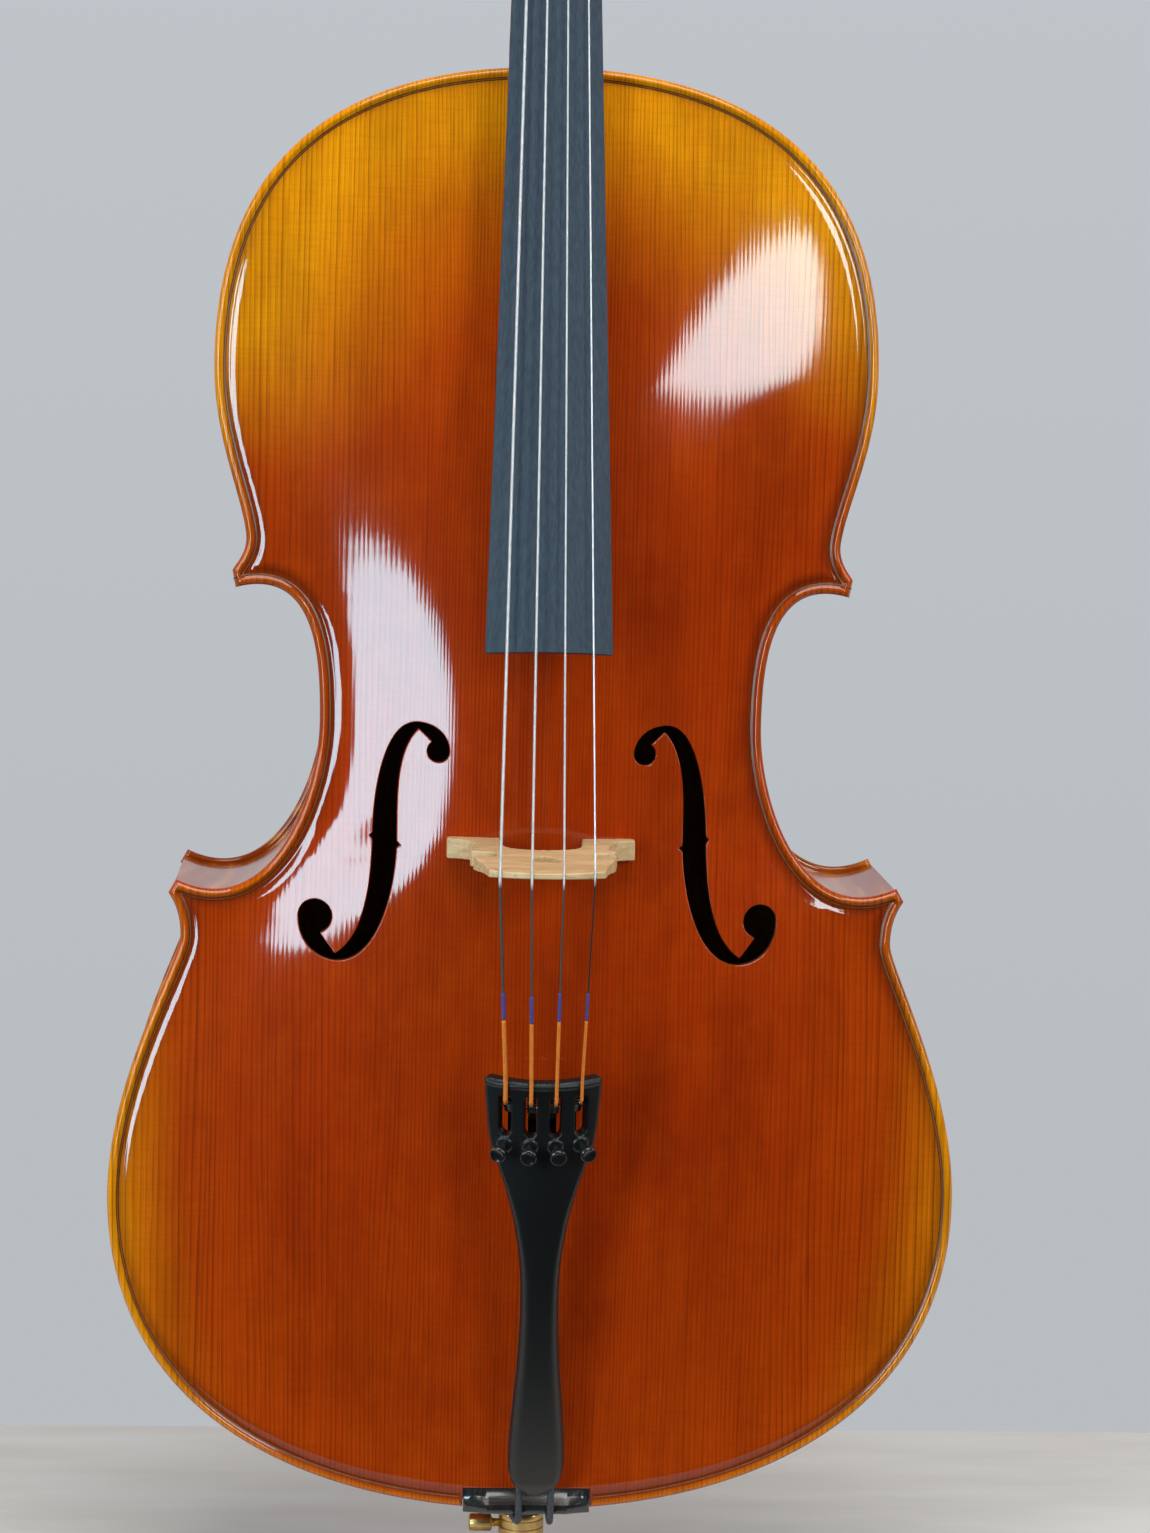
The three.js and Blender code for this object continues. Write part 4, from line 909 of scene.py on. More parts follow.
front_loop = notched(notched(outline, *SADDLE_SLOT, top=False), *NECK_SLOT, top=True)
front_holes = [treble_hole, bass_hole]
front_outer, front_inner = plate_faces(-1, front_holes)
front_extra = plate_points(front_holes)
extra_x, extra_z = np.abs(front_extra[:, 0]), front_extra[:, 1]
in_neck_slot = (extra_x < NECK_SLOT[0] + 0.5) & (extra_z > NECK_SLOT[1] - 0.5)
in_saddle_slot = (extra_x < SADDLE_SLOT[0] + 0.5) & (extra_z < SADDLE_SLOT[1] + 0.5)
front_extra = front_extra[~(in_neck_slot | in_saddle_slot)]
plan_solid(
    "front_plate_fine", [front_loop, *front_holes], front_extra, front_outer, front_inner,
    [SPRUCE, INSIDE, HOLE_WALL], marks=spruce_marks, shows=in_overhang,
    slot="varnished_spruce", replaces=["front_plate"],
)

button = arc((0, BODY_LENGTH + 1), 14.5, -14, 194, 40)
under_button = (np.abs(outline[:, 0]) < 14.6) & (outline[:, 1] > 700)
split = int(np.nonzero(under_button)[0][0])
back_loop = np.vstack([outline[:split], button, outline[split + int(under_button.sum()):]])
back_outer, back_inner = plate_faces(1)
button_grid = grid_over(np.arange(-11, 12, 4), np.arange(758, 770, 4))
button_grid = button_grid[np.hypot(button_grid[:, 0], button_grid[:, 1] - 758) < 12]
plan_solid(
    "back_plate_fine", [back_loop], np.vstack([plate_points(), button_grid]), back_outer, back_inner,
    [MAPLE, INSIDE, MAPLE], marks=maple_marks, shows=in_overhang,
    slot="varnished_maple", replaces=["back_plate"],
)


# ---------------------------------------------------------------- purfling, ribs and inside

def between(line, low_x, top_x):
    """The stretch of a half line outside the saddle's and the neck's slots."""
    x, z = line[:, 0], line[:, 1]
    kept = ~((x < low_x) & (z < BODY_LENGTH / 2)) & ~((x < top_x) & (z > BODY_LENGTH / 2))
    return line[kept]


def strip(bout, near_edge, far_edge, low_x, top_x):
    """Two lines along a bout at two distances from the outline, with as many even points each."""
    out_line, in_line = (between(mitred(d)[bout], low_x, top_x) for d in (near_edge, far_edge))
    return even(out_line, len(out_line)), even(in_line, len(out_line))


SIDES = {"treble": 1, "bass": -1}
PURFLING = (
    ("outer", 4.7, 5.05, PURFLING_BLACK),
    ("core", 5.05, 5.85, PURFLING_PALE),
    ("inner", 5.85, 6.2, PURFLING_BLACK),
)
PURFLING_OVER, PURFLING_UNDER = 0.05, -0.35  # from the plate's face


def purfling(plate, outer, low_x, top_x):
    """Three thin strips let into a plate round its edge, mitred at the corners."""
    over, under = (lift * (-1 if plate == "front" else 1) for lift in (PURFLING_OVER, PURFLING_UNDER))
    for label, near_edge, far_edge, material in PURFLING:
        for side_name, side in SIDES.items():
            points, faces = [], []
            for bout in range(3):
                out_line, in_line = strip(bout, near_edge, far_edge, low_x, top_x)
                rows = []
                for line, lift in ((out_line, over), (in_line, over), (in_line, under), (out_line, under)):
                    rows.append(np.column_stack([line[:, 0], outer(line)[0] + lift, line[:, 1]]))
                faces += [[len(points) + i for i in face] for face in loft_faces(len(out_line), 4)]
                points.extend(np.stack(rows, axis=1).reshape(-1, 3))
            points = np.array(points) * [side, 1, 1]
            add(f"{plate}_purfling_{label}_{side_name}", points, faces, material, slot="ebony")


RIB_ENDS = {"lower": (0.4, -1), "middle": (-1, -1), "upper": (-1, 13.0)}  # least x at the saddle and the neck


def rib(bout, label, side_name):
    """One rib, bent to its bout, with its flame running from plate to plate."""
    out_line, in_line = strip(bout, OVERHANG, OVERHANG + RIB_THICKNESS, *RIB_ENDS[label])
    levels = np.linspace(EDGE / 2, EDGE / 2 + RIB_HEIGHT, 12)
    rings = []
    for p, q in zip(out_line, in_line):
        rings.append([(p[0], y, p[1]) for y in levels] + [(q[0], y, q[1]) for y in levels[::-1]])
    points = np.vstack(rings) * [SIDES[side_name], 1, 1]
    figure = np.repeat(running_length(out_line) * MM, len(rings[0]))
    add(f"{label}_rib_fine_{side_name}", points, loft_faces(len(rings), len(rings[0])), MAPLE,
        marks={"figure": figure}, slot="varnished_maple", replaces=[f"{label}_rib_{side_name}"])


purfling("front", front_outer, SADDLE_SLOT[0], NECK_SLOT[0])
purfling("back", back_outer, 0, 0)
for side_name in SIDES:
    for bout, label in enumerate(RIB_ENDS):
        rib(bout, label, side_name)


for node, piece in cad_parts.items():
    if "lining" in node or "block" in node or node in ("bass_bar", "sound_post"):
        piece.data.materials.clear()
        piece.data.materials.append(RAW)


# ---------------------------------------------------------------- bridge

STOP_Z = 357.0
BRIDGE_HEIGHT = 92.0
BRIDGE_BACK_Z = STOP_Z - 4.7
FOOT_DEPTH, CROWN_DEPTH = 10.5, 2.9
FOOT_HEIGHT = 4  # where the bridge starts to taper
BRIDGE_LEAN = 1.6  # of its upright face, towards the fingerboard
CROWN_RADIUS = 60.0
STRINGS = {  # each string's radius, and its place across the nut, the bridge and the tailpiece
    "c": (0.8, -11.2, -23.5, -19.3),
    "g": (0.66, -3.7, -7.9, -6.4),
    "d": (0.54, 3.7, 7.9, 6.4),
    "a": (0.44, 11.2, 23.5, 19.3),
}
bridge_base = -(HALF_EDGE + ARCH_HEIGHT * float(arch(0.0, STOP_Z)))


def rounded_chain(points, cut, steps):
    """A closed outline whose corners are rounded, each cut back by up to cut."""
    points = np.asarray(points, float)
    made = []
    for i, here in enumerate(points):
        before, after = points[i - 1] - here, points[(i + 1) % len(points)] - here
        reach = min(cut, np.linalg.norm(before) * 0.45, np.linalg.norm(after) * 0.45)
        start = here + before / np.linalg.norm(before) * reach
        end = here + after / np.linalg.norm(after) * reach
        t = np.linspace(0, 1, steps + 1)[:, None]
        made.append(start * (1 - t) ** 2 + 2 * here * t * (1 - t) + end * t ** 2)
    return np.vstack(made)


def crown(x):
    """Height of the bridge's top, with a shallow notch under each string."""
    height = BRIDGE_HEIGHT - x * x / (2 * CROWN_RADIUS)
    for radius, _, at, _ in STRINGS.values():
        height = height - (0.35 * radius) * bell(x, at, radius * 1.15)
    return height


def away_from(lines, points):
    """Distance from each point to the nearest of several lines."""
    return np.min([nearest(points, line)[0] for line in lines], axis=0)


def in_sheet(points, loop, holes):
    """The points inside a loop and outside its holes."""
    kept = inside(points, loop)
    for hole in holes:
        kept &= ~inside(points, hole)
    return points[kept]


def bridge_outline():
    """The bridge's outline, from the arch between its feet by the foot and the waist to its crown."""
    ankle = [
        (0, 34), (5, 34), (10, 33), (14.5, 31), (17, 29), (19.5, 24), (20.3, 18), (20.5, 12), (21, 6), (21.5, 1),
    ]
    foot_x = np.linspace(21.5, 48.4, 10)
    foot = [(x, HALF_EDGE + ARCH_HEIGHT * float(arch(x, STOP_Z)) + bridge_base + 0.15) for x in foot_x]
    upper = [
        (48.4, 4), (46, 5.2), (43, 6.5), (40, 8.5), (37.5, 11), (35.6, 15), (34.5, 20), (33.6, 25),
        (33.5, 30), (34.5, 33.5), (36.5, 35), (37.2, 37.5), (36.5, 40), (32, 41.6), (27, 42), (24.6, 43.8), (24, 47),
        (24.3, 51), (26, 53), (29, 52.8), (32.5, 50.6), (35, 51.5), (35.9, 53.5), (35.5, 56), (34.4, 61),
        (32, 68), (30.4, 76), (29.5, 82),
    ]
    top = [(x, float(crown(x))) for x in np.linspace(28.9, 0, 64)]
    return both_sides(np.array(ankle + foot + upper + top))


def bridge():
    loop = bridge_outline()
    heart = both_sides(chain(
        bezier((0, 50), (4, 54), (8.5, 58), (7.5, 63), 14),
        bezier((7.5, 63), (6, 68), (1, 67), (0, 62), 14),
    ))
    closed = [shut(loop), shut(heart)]
    grid = in_sheet(grid_over(np.arange(-48, 48.1, 1.5), np.arange(-6, 92, 1.5)), loop, [heart])
    grid = grid[away_from(closed, grid) > 1.0]
    near = [line[:-1] + d * inward(line)[:-1] for line in closed for d in (-0.2, -0.6, 0.2, 0.6)]
    near = in_sheet(np.vstack(near), loop, [heart])
    near = near[away_from(closed, near) > 0.15]

    def rim(plan):
        """How far the rounded edges fall short, and their slope."""
        to_loop, to_heart = nearest(plan, closed[0]), nearest(plan, closed[1])
        closer = to_loop[0] < to_heart[0]
        fall, rate = rounding(np.where(closer, to_loop[0], to_heart[0]), 0.55)
        return fall, rate[:, None] * np.where(closer[:, None], to_loop[1], to_heart[1])

    def face(lift, rate, plan, sign):
        fall, slope = rim(plan)
        return lift + sign * fall, np.column_stack([np.zeros(len(plan)), rate]) + sign * slope

    def back(plan):
        rate = BRIDGE_LEAN / BRIDGE_HEIGHT
        return face(plan[:, 1] * rate, np.full(len(plan), rate), plan, 1)

    def front(plan):
        share = np.clip((plan[:, 1] - FOOT_HEIGHT) / (BRIDGE_HEIGHT - FOOT_HEIGHT), 0, 1)
        taper = BRIDGE_LEAN + CROWN_DEPTH - FOOT_DEPTH
        rate = np.where(plan[:, 1] > FOOT_HEIGHT, taper / (BRIDGE_HEIGHT - FOOT_HEIGHT), 0)
        return face(FOOT_DEPTH + taper * share + 0.7 * np.sin(np.pi * share), rate, plan, -1)

    stand = Matrix(((1, 0, 0, 0), (0, 0, -1, bridge_base), (0, 1, 0, BRIDGE_BACK_Z), (0, 0, 0, 1)))
    plan_solid(
        "bridge_fine", [loop, heart], np.vstack([grid, near]), front, back, [BRIDGE_WOOD],
        local=stand, slot="bridge_maple", replaces=["bridge"],
    )


bridge()


# ---------------------------------------------------------------- fingerboard and nut

BOARD_LENGTH = 584.3
BOARD_RADIUS, BOARD_EDGE = 62.0, 5.0
HALF_AT_NUT, HALF_AT_END = 15.8, 32.0
NUT_RISE = 1.0  # over the board


def board_half(s):
    """Half the board's width at a station s along the neck."""
    return HALF_AT_NUT + (HALF_AT_END - HALF_AT_NUT) * (NECK_LENGTH - s) / BOARD_LENGTH


def board_top(x, s):
    """The board's playing face, in the neck's frame."""
    edge = math.sqrt(BOARD_RADIUS ** 2 - board_half(s) ** 2)
    return float(-BOARD_EDGE - (np.sqrt(BOARD_RADIUS ** 2 - x ** 2) - edge))


def board_ring(s, hollow, shrink):
    """A section of the board: its crown, its edges and its underside, hollow or flat."""
    half = board_half(s) - shrink
    soft = 0.5
    x = np.linspace(half - soft, -half + soft, 33)
    top = [(v, board_top(v, s), s) for v in x]
    edge_y = board_top(half - soft, s)
    right = [(half, -0.9, s), (half, edge_y + soft * 1.1, s), (half - soft * 0.3, edge_y + soft * 0.3, s)]
    left = [(-v, y, z) for v, y, z in right[::-1]]
    inner = half - 7
    under = [(-half + 0.5, -0.3, s)]
    for v in np.linspace(-inner, inner, 15):
        depth = 5.5 * math.cos(math.pi * v / (2 * inner)) ** 0.7 if abs(v) < inner else 0
        under.append((v, -0.3 - hollow * depth, s))
    under.append((half - 0.5, -0.3, s))
    return right + top + left + under


def fingerboard():
    low = NECK_LENGTH - BOARD_LENGTH
    stations = [(low, 1.0, 0.5), (low + 0.5, 1.0, 0.1), (low + 1.2, 1.0, 0.0)]
    stations += [(s, 1.0, 0.0) for s in np.linspace(low + 6, -34, 22)]
    stations += [(-28, 0.9, 0.0), (-25, 0.5, 0.0), (-23.5, 0.0, 0.0)]
    stations += [(s, 0.0, 0.0) for s in np.linspace(-15, NECK_LENGTH - 0.3, 24)]
    rings = [board_ring(s, hollow, shrink) for s, hollow, shrink in stations]
    loft("fingerboard_fine", rings, BOARD_EBONY_PAINTED_SHEEN, local=NECK, slot="ebony", replaces=["fingerboard"])


def nut():
    """The ebony nut, its top rounded over and grooved for the strings."""
    profile = [(0.3, 0.9), (0.5, 0.3), (1.2, 0.0), (3.2, 0.1), (5.0, 0.75), (6.2, 1.9), (6.7, 3.0)]
    half = HALF_AT_NUT - 0.15
    top = []
    for x in np.linspace(half, -half, 121):
        groove = sum(0.5 * radius * bell(x, at, radius * 1.2) for radius, at, _, _ in STRINGS.values())
        edge = max(0.0, abs(x) - HALF_AT_NUT + 1.6) * 0.9
        top.append((x, board_top(x, NECK_LENGTH) - NUT_RISE + groove + edge))
    rings = []
    for along, drop in profile:
        ring = [(x, y + drop) for x, y in top] + [(-half, -0.3), (half, -0.3)]
        rings.append([(x, y, NECK_LENGTH + along) for x, y in ring])
    loft("nut_fine", rings, EBONY, local=NECK, slot="ebony", replaces=["nut"])


fingerboard()
nut()


# ---------------------------------------------------------------- tailpiece

TAIL_LENGTH = 244.0
TAIL_RADIUS = 62.0
TUNER_AT = 209.0
SLOT_FROM, SLOT_TO, SLOT_HALF = 213.5, 236.0, 3.2
tail_half = table([
    (0, 3), (3, 7.5), (8, 11.5), (16, 14.2), (26, 14.8), (50, 13.6), (85, 11), (115, 10), (140, 10.6),
    (165, 14), (184, 18.6), (198, 23), (207, 26.3), (218, 28), (244, 29.8),
])
tail_top = table([(0, -3), (12, -8), (35, -9.5), (115, -8), (180, -3.5), (215, -1.4), (244, -0.6)])
tail_thickness = table([(0, 8), (12, 13), (60, 13.5), (140, 13), (190, 8), (215, 6.2), (244, 6.2)])
tail_soft = table([(0, 3.4), (20, 5.5), (120, 5.2), (170, 3.6), (205, 1.5), (244, 1.3)])


def tail_face(x, u):
    """The arched face of the tailpiece over a place in its plan."""
    return tail_top(u) + TAIL_RADIUS - np.sqrt(TAIL_RADIUS ** 2 - np.asarray(x) ** 2)


def tail_slot(at):
    """A slot with a round lower end and cut corners at its upper end."""
    low = SLOT_FROM + SLOT_HALF
    shape = np.vstack([
        [(SLOT_HALF, low), (SLOT_HALF, SLOT_TO - 1), (SLOT_HALF - 1, SLOT_TO)],
        [(1 - SLOT_HALF, SLOT_TO), (-SLOT_HALF, SLOT_TO - 1), (-SLOT_HALF, low)],
        arc((0, low), SLOT_HALF, 180, 360, 16)[1:-1],
    ])
    return resample(shut(shape), 0.8)[:-1][::-1] + [at, 0]


def tailpiece():
    stations = np.concatenate([np.linspace(0, 24, 26), np.linspace(26, TAIL_LENGTH - 1.5, 100)])
    corner = [(29.75, 243.1), (29.5, 243.7), (28.9, 244.0)]
    end = [(x, 244.0) for x in np.linspace(26, 0, 14)]
    right = np.column_stack([tail_half(stations), stations])
    loop = both_sides(np.vstack([[(0, 0), (1.5, 0)], right, corner, end]))
    places = [at for _, _, _, at in STRINGS.values()]
    slots = [tail_slot(at) for at in places]
    closed = [shut(line) for line in (loop, *slots)]
    grid = [grid_over(np.arange(-29, 29.1, 1.6), np.arange(1, 243, 1.6))]
    for line in closed:
        line = resample(line, 1.2)
        for d in (0.2, 0.5, 0.9, 1.4, 2.0, 2.8):
            grid += [line[:-1] + d * side * inward(line)[:-1] for side in (1, -1)]
    for at in places:
        grid += [arc((at, TUNER_AT), r, 0, 360, 26)[:-1] for r in (2.2, 3.0, 3.5, 3.9, 4.3)]
    grid = in_sheet(np.vstack(grid), loop, slots)
    grid = grid[away_from(closed, grid) > 0.17]

    def crest(x, u):
        """The string lip near the end and the bosses round the tuners' screws."""
        lip = 0.75 * np.clip(1.35 - np.abs(u - 242.0) / 1.1, 0, 1)
        bosses = [0.75 * np.clip((4.3 - np.hypot(x - place, u - TUNER_AT)) / 0.9, 0, 1) for place in places]
        return lip * (np.abs(x) < 28.6) + sum(bosses)

    def soft_edge(plan):
        return rounding(nearest(plan, closed[0])[0], tail_soft(plan[:, 1]))[0]

    def over(plan):
        drop = soft_edge(plan)
        for line in closed[1:]:
            drop = drop + rounding(nearest(plan, line)[0], 0.6)[0]
        return tail_face(plan[:, 0], plan[:, 1]) + drop - crest(plan[:, 0], plan[:, 1])

    def under(plan):
        return tail_face(plan[:, 0], plan[:, 1]) + tail_thickness(plan[:, 1]) - 0.8 * soft_edge(plan)

    plan_solid(
        "tailpiece_fine", [loop, *slots], grid, sloped(over, 0.12, 8), sloped(under, 0.12, 8), [RESIN],
        local=TAIL,
        far_shift=lambda plan: -plan[:, 0] * tail_thickness(plan[:, 1]) / TAIL_RADIUS,
        slot="black_resin", replaces=["tailpiece"],
    )


tailpiece()


# ---------------------------------------------------------------- fine tuners

LEVER_DEPTH, LEVER_AT = 7.6, 227.0  # the levers' axles, under the tailpiece's face
SCREW_END = -12.3


def tuner_frame(x, along):
    """Local to body: y goes square into the arched tailpiece from its face, and z along it."""
    lean = math.asin(x / TAIL_RADIUS)
    place = Matrix.Translation((x, float(tail_face(x, TUNER_AT)), 0)) @ Matrix.Rotation(lean, 4, "Z")
    return TAIL @ place @ Matrix.Translation((0, 0, along))


OUT = Matrix(((1, 0, 0, 0), (0, 0, -1, 0), (0, 1, 0, 0), (0, 0, 0, 1)))  # a lathe's +Z along the local -Y
ACROSS = Matrix.Rotation(math.pi / 2, 4, "Y")  # a lathe's +Z along the local +X


def tuner(name, x):
    """One fine tuner: its screw, knob, lever, the two ears that hold the string's end, and the axle."""
    axis = tuner_frame(x, TUNER_AT) @ OUT
    thread = [(1.5 if k % 2 else 1.28, SCREW_END + 1.2 + 0.35 * k) for k in range(36)]
    shank = [(0, SCREW_END), (0.9, SCREW_END), *thread, (1.5, 0.9), (1.5, 7.0), (0, 7.0)]
    lathe(f"tuner_screw_fine_{name}", shank, axis, BLACK_METAL, sides=20, sharp=30,
          body=f"tuner_screw_{name}", slot="black_metal", replaces=[f"tuner_screw_{name}"])
    knob = [
        (0, 7.3), (2.0, 7.3), (2.2, 7.5), (2.2, 8.3), (2.6, 8.5), (3.7, 8.75), (4.15, 9.15), (4.3, 9.6),
        (4.3, 12.0), (4.12, 12.45), (3.75, 12.8), (3.4, 12.9), (3.1, 12.82), (2.9, 12.7), (0.0, 12.62),
    ]
    lathe(f"tuner_knob_fine_{name}", knob, axis, BLACK_METAL, sides=40, sharp=50, body=f"tuner_knob_{name}",
          slot="black_metal", replaces=[f"tuner_knob_{name}"])
    side = [
        (-4.2, 6.0), (-4.35, 4.9), (-3.9, 3.7), (-2.7, 2.9), (-2.0, 2.0), (-1.6, 0.2), (-1.0, -2.5),
        (1.6, -4.4), (5.0, -6.0), (5.0, -20.0), (6.2, -20.6), (7.8, -20.0), (8.4, -12), (8.4, -6.0),
        (7.9, -2), (7.0, 1.5),
        (4.8, 3.3), (1.5, 4.5), (-1.2, 5.2), (-2.6, 6.6),
    ]
    local = tuner_frame(x, 0) @ Matrix.Translation((0, LEVER_DEPTH, LEVER_AT))
    plan = rounded_chain(side, 0.7, 3)
    inset = plan + (plan.mean(0) - plan) * 0.035
    layers = ((-2.2, inset), (-1.9, plan), (1.9, plan), (2.2, inset))
    rings = [[(u, y, z) for y, z in line] for u, line in layers]
    loft(f"tuner_lever_fine_{name}", rings, BLACK_METAL, local=local, sharp=42, body=f"tuner_lever_{name}",
         slot="black_metal", replaces=[f"tuner_lever_{name}"])
    ear = [(-3.6, 7.0), (-4.3, 5.2), (-3.4, 3.2), (-1.4, 2.8), (0.6, 3.6), (0.2, 5.4), (-1.6, 7.0)]
    ear = rounded_chain(ear, 0.9, 3)
    for hand_name, hand in (("left", -1), ("right", 1)):
        rings = [[(hand * u, y, z) for y, z in ear] for u in (1.25, 2.15)]
        loft(f"tuner_hook_{name}_{hand_name}", rings, BLACK_METAL, local=local, sharp=42,
             body=f"tuner_lever_{name}", slot="black_metal")
    pin = [(0, -3.15), (0.7, -3.15), (0.8, -3.0), (0.8, 3.0), (0.7, 3.15), (0, 3.15)]
    lathe(f"tuner_axle_{name}", pin, local @ ACROSS, STEEL, sides=16, slot="rod_steel")


for name, (_, _, _, at_tail) in STRINGS.items():
    tuner(name, at_tail)


# ---------------------------------------------------------------- saddle and tail cord

SADDLE_HALF, SADDLE_DEPTH, SADDLE_FLAT, SADDLE_HEIGHT = 33.5, 11.7, 21.0, 7.6
CORD_SPREAD = 8.4  # from the tailpiece's middle to each leg of the cord


def saddle():
    """The ebony saddle: its ends slope down, and the cord's legs lie in two grooves."""
    rings = []
    ends = np.linspace(33, 33.5, 3)
    for x in np.concatenate([-ends[::-1], np.linspace(-31.5, 31.5, 43), ends]):
        share = np.clip((abs(x) - SADDLE_FLAT) / (SADDLE_HALF - SADDLE_FLAT), 0, 1)
        top = SADDLE_HEIGHT - (SADDLE_HEIGHT - 1) * share
        front = -HALF_EDGE - top + 0.35 * np.clip((abs(x) - 33.0) / 0.5, 0, 1)
        legs = bell(x, TAIL_X - CORD_SPREAD, 2.2) + bell(x, TAIL_X + CORD_SPREAD, 2.2)
        groove = 0.5 * legs * (top > 7)
        section = [(-HALF_EDGE - top * share_y, z) for share_y, z in ((0.5, -0.8), (0.8, -0.25))]
        section += [(front + 0.25, 0.8), (front + groove, 1.6), (front + groove, 4.1), (front + 0.25, 4.9)]
        section += [(-HALF_EDGE - top * share_y, z) for share_y, z in ((0.66, 6.4), (0.32, 8.2))]
        section += [(-HALF_EDGE - 0.6, SADDLE_DEPTH - 0.5), (-HALF_EDGE - 0.3, SADDLE_DEPTH)]
        section = [(HALF_EDGE, -0.8), *section, (HALF_EDGE, SADDLE_DEPTH)]
        rings.append([(x, y, z) for y, z in section])
    loft("saddle_fine", rings, EBONY, sharp=24, slot="ebony", replaces=["saddle"])


def from_tail(point):
    """A point of the tail's frame in the body frame."""
    return tuple(TAIL @ Vector(point))


def smooth_path(points, spacing):
    """A Catmull-Rom line through points, evenly spaced."""
    points = np.asarray(points, float)
    padded = np.vstack([2 * points[0] - points[1], points, 2 * points[-1] - points[-2]])
    made = []
    for a, b, c, d in zip(padded, padded[1:], padded[2:], padded[3:]):
        for t in np.linspace(0, 1, 12, endpoint=False):
            made.append(b + 0.5 * t * (c - a + t * (2 * a - 5 * b + 4 * c - d + t * (3 * (b - c) + d - a))))
    made.append(points[-1])
    return even(made, max(2, int(running_length(made)[-1] / spacing)))


def tail_cord():
    """A braided cord from the tailpiece over the saddle, round the endpin's plug and back."""
    ridge = -HALF_EDGE - SADDLE_HEIGHT - 2.4

    def leg(side):
        x = CORD_SPREAD * side
        return [
            from_tail((x, 0.4, 20)), from_tail((x, 0.4, 2)), (TAIL_X + x, ridge, 3.5),
            (TAIL_X + x, ridge + 1.6, -1.5), (3.5 + 8.8 * side, ridge + 6, -4.4), (2 + 11 * side, 22, -6),
            (0.5 + 15 * side, MIDDLE_Y - 8, -7),
        ]

    bend = [(-15 * math.cos(a), MIDDLE_Y + 15 * math.sin(a), -7) for a in np.radians(np.arange(0, 181, 30))]
    path = smooth_path([*leg(-1), *bend, *leg(1)[::-1]], 0.7)
    sides = 24
    angles = 3 * turns(sides)
    rings = []
    for k, (point, ring) in enumerate(zip(path, sections(path, sides))):
        woven = np.abs(np.sin(angles + 0.75 * k)) * np.abs(np.sin(angles - 0.75 * k))
        rings.append(point + (1.68 + 0.3 * woven)[:, None] * ring)
    loft("tail_cord_fine", rings, CORD, sharp=None, slot="cord", replaces=["tail_cord"])


saddle()
tail_cord()


# ---------------------------------------------------------------- strings

PEGS = {"c": (318.0, -1), "a": (336.0, 1), "g": (372.0, -1), "d": (391.0, 1)}
pegbox_front = table([(288, 0), (300, 2), (340, 10.5), (390, 21), (425, 27), (440, 28)])


def peg_depth(s):
    """How far behind the neck's face a peg's axis is."""
    return float(pegbox_front(s)) + 16


def from_neck(point):
    """A point of the neck's frame in the body frame."""
    return tuple(NECK @ Vector(point))


def along_marks(path, sides):
    """The mark for a swept tube's windings: how far along it each point is, in metres."""
    return {"along": np.repeat(running_length(path) * MM, sides)}


def densely(points, spacing):
    """The same line with more points, its own ones kept."""
    length = running_length(points)
    return sampled(points, np.unique(np.concatenate([length, np.arange(0, length[-1], spacing)])))


STRING_SIDES, SILK_SIDES = 16, 14
SILK_CHANGE = 279.3  # the height where orange silk changes to purple
PURPLE_LENGTH = 15.5


def over_tail(x, u, radius):
    """A string's middle where it lies on the tailpiece's lip."""
    return from_tail((x, float(tail_face(x, u)) - 1.3 - radius, u))


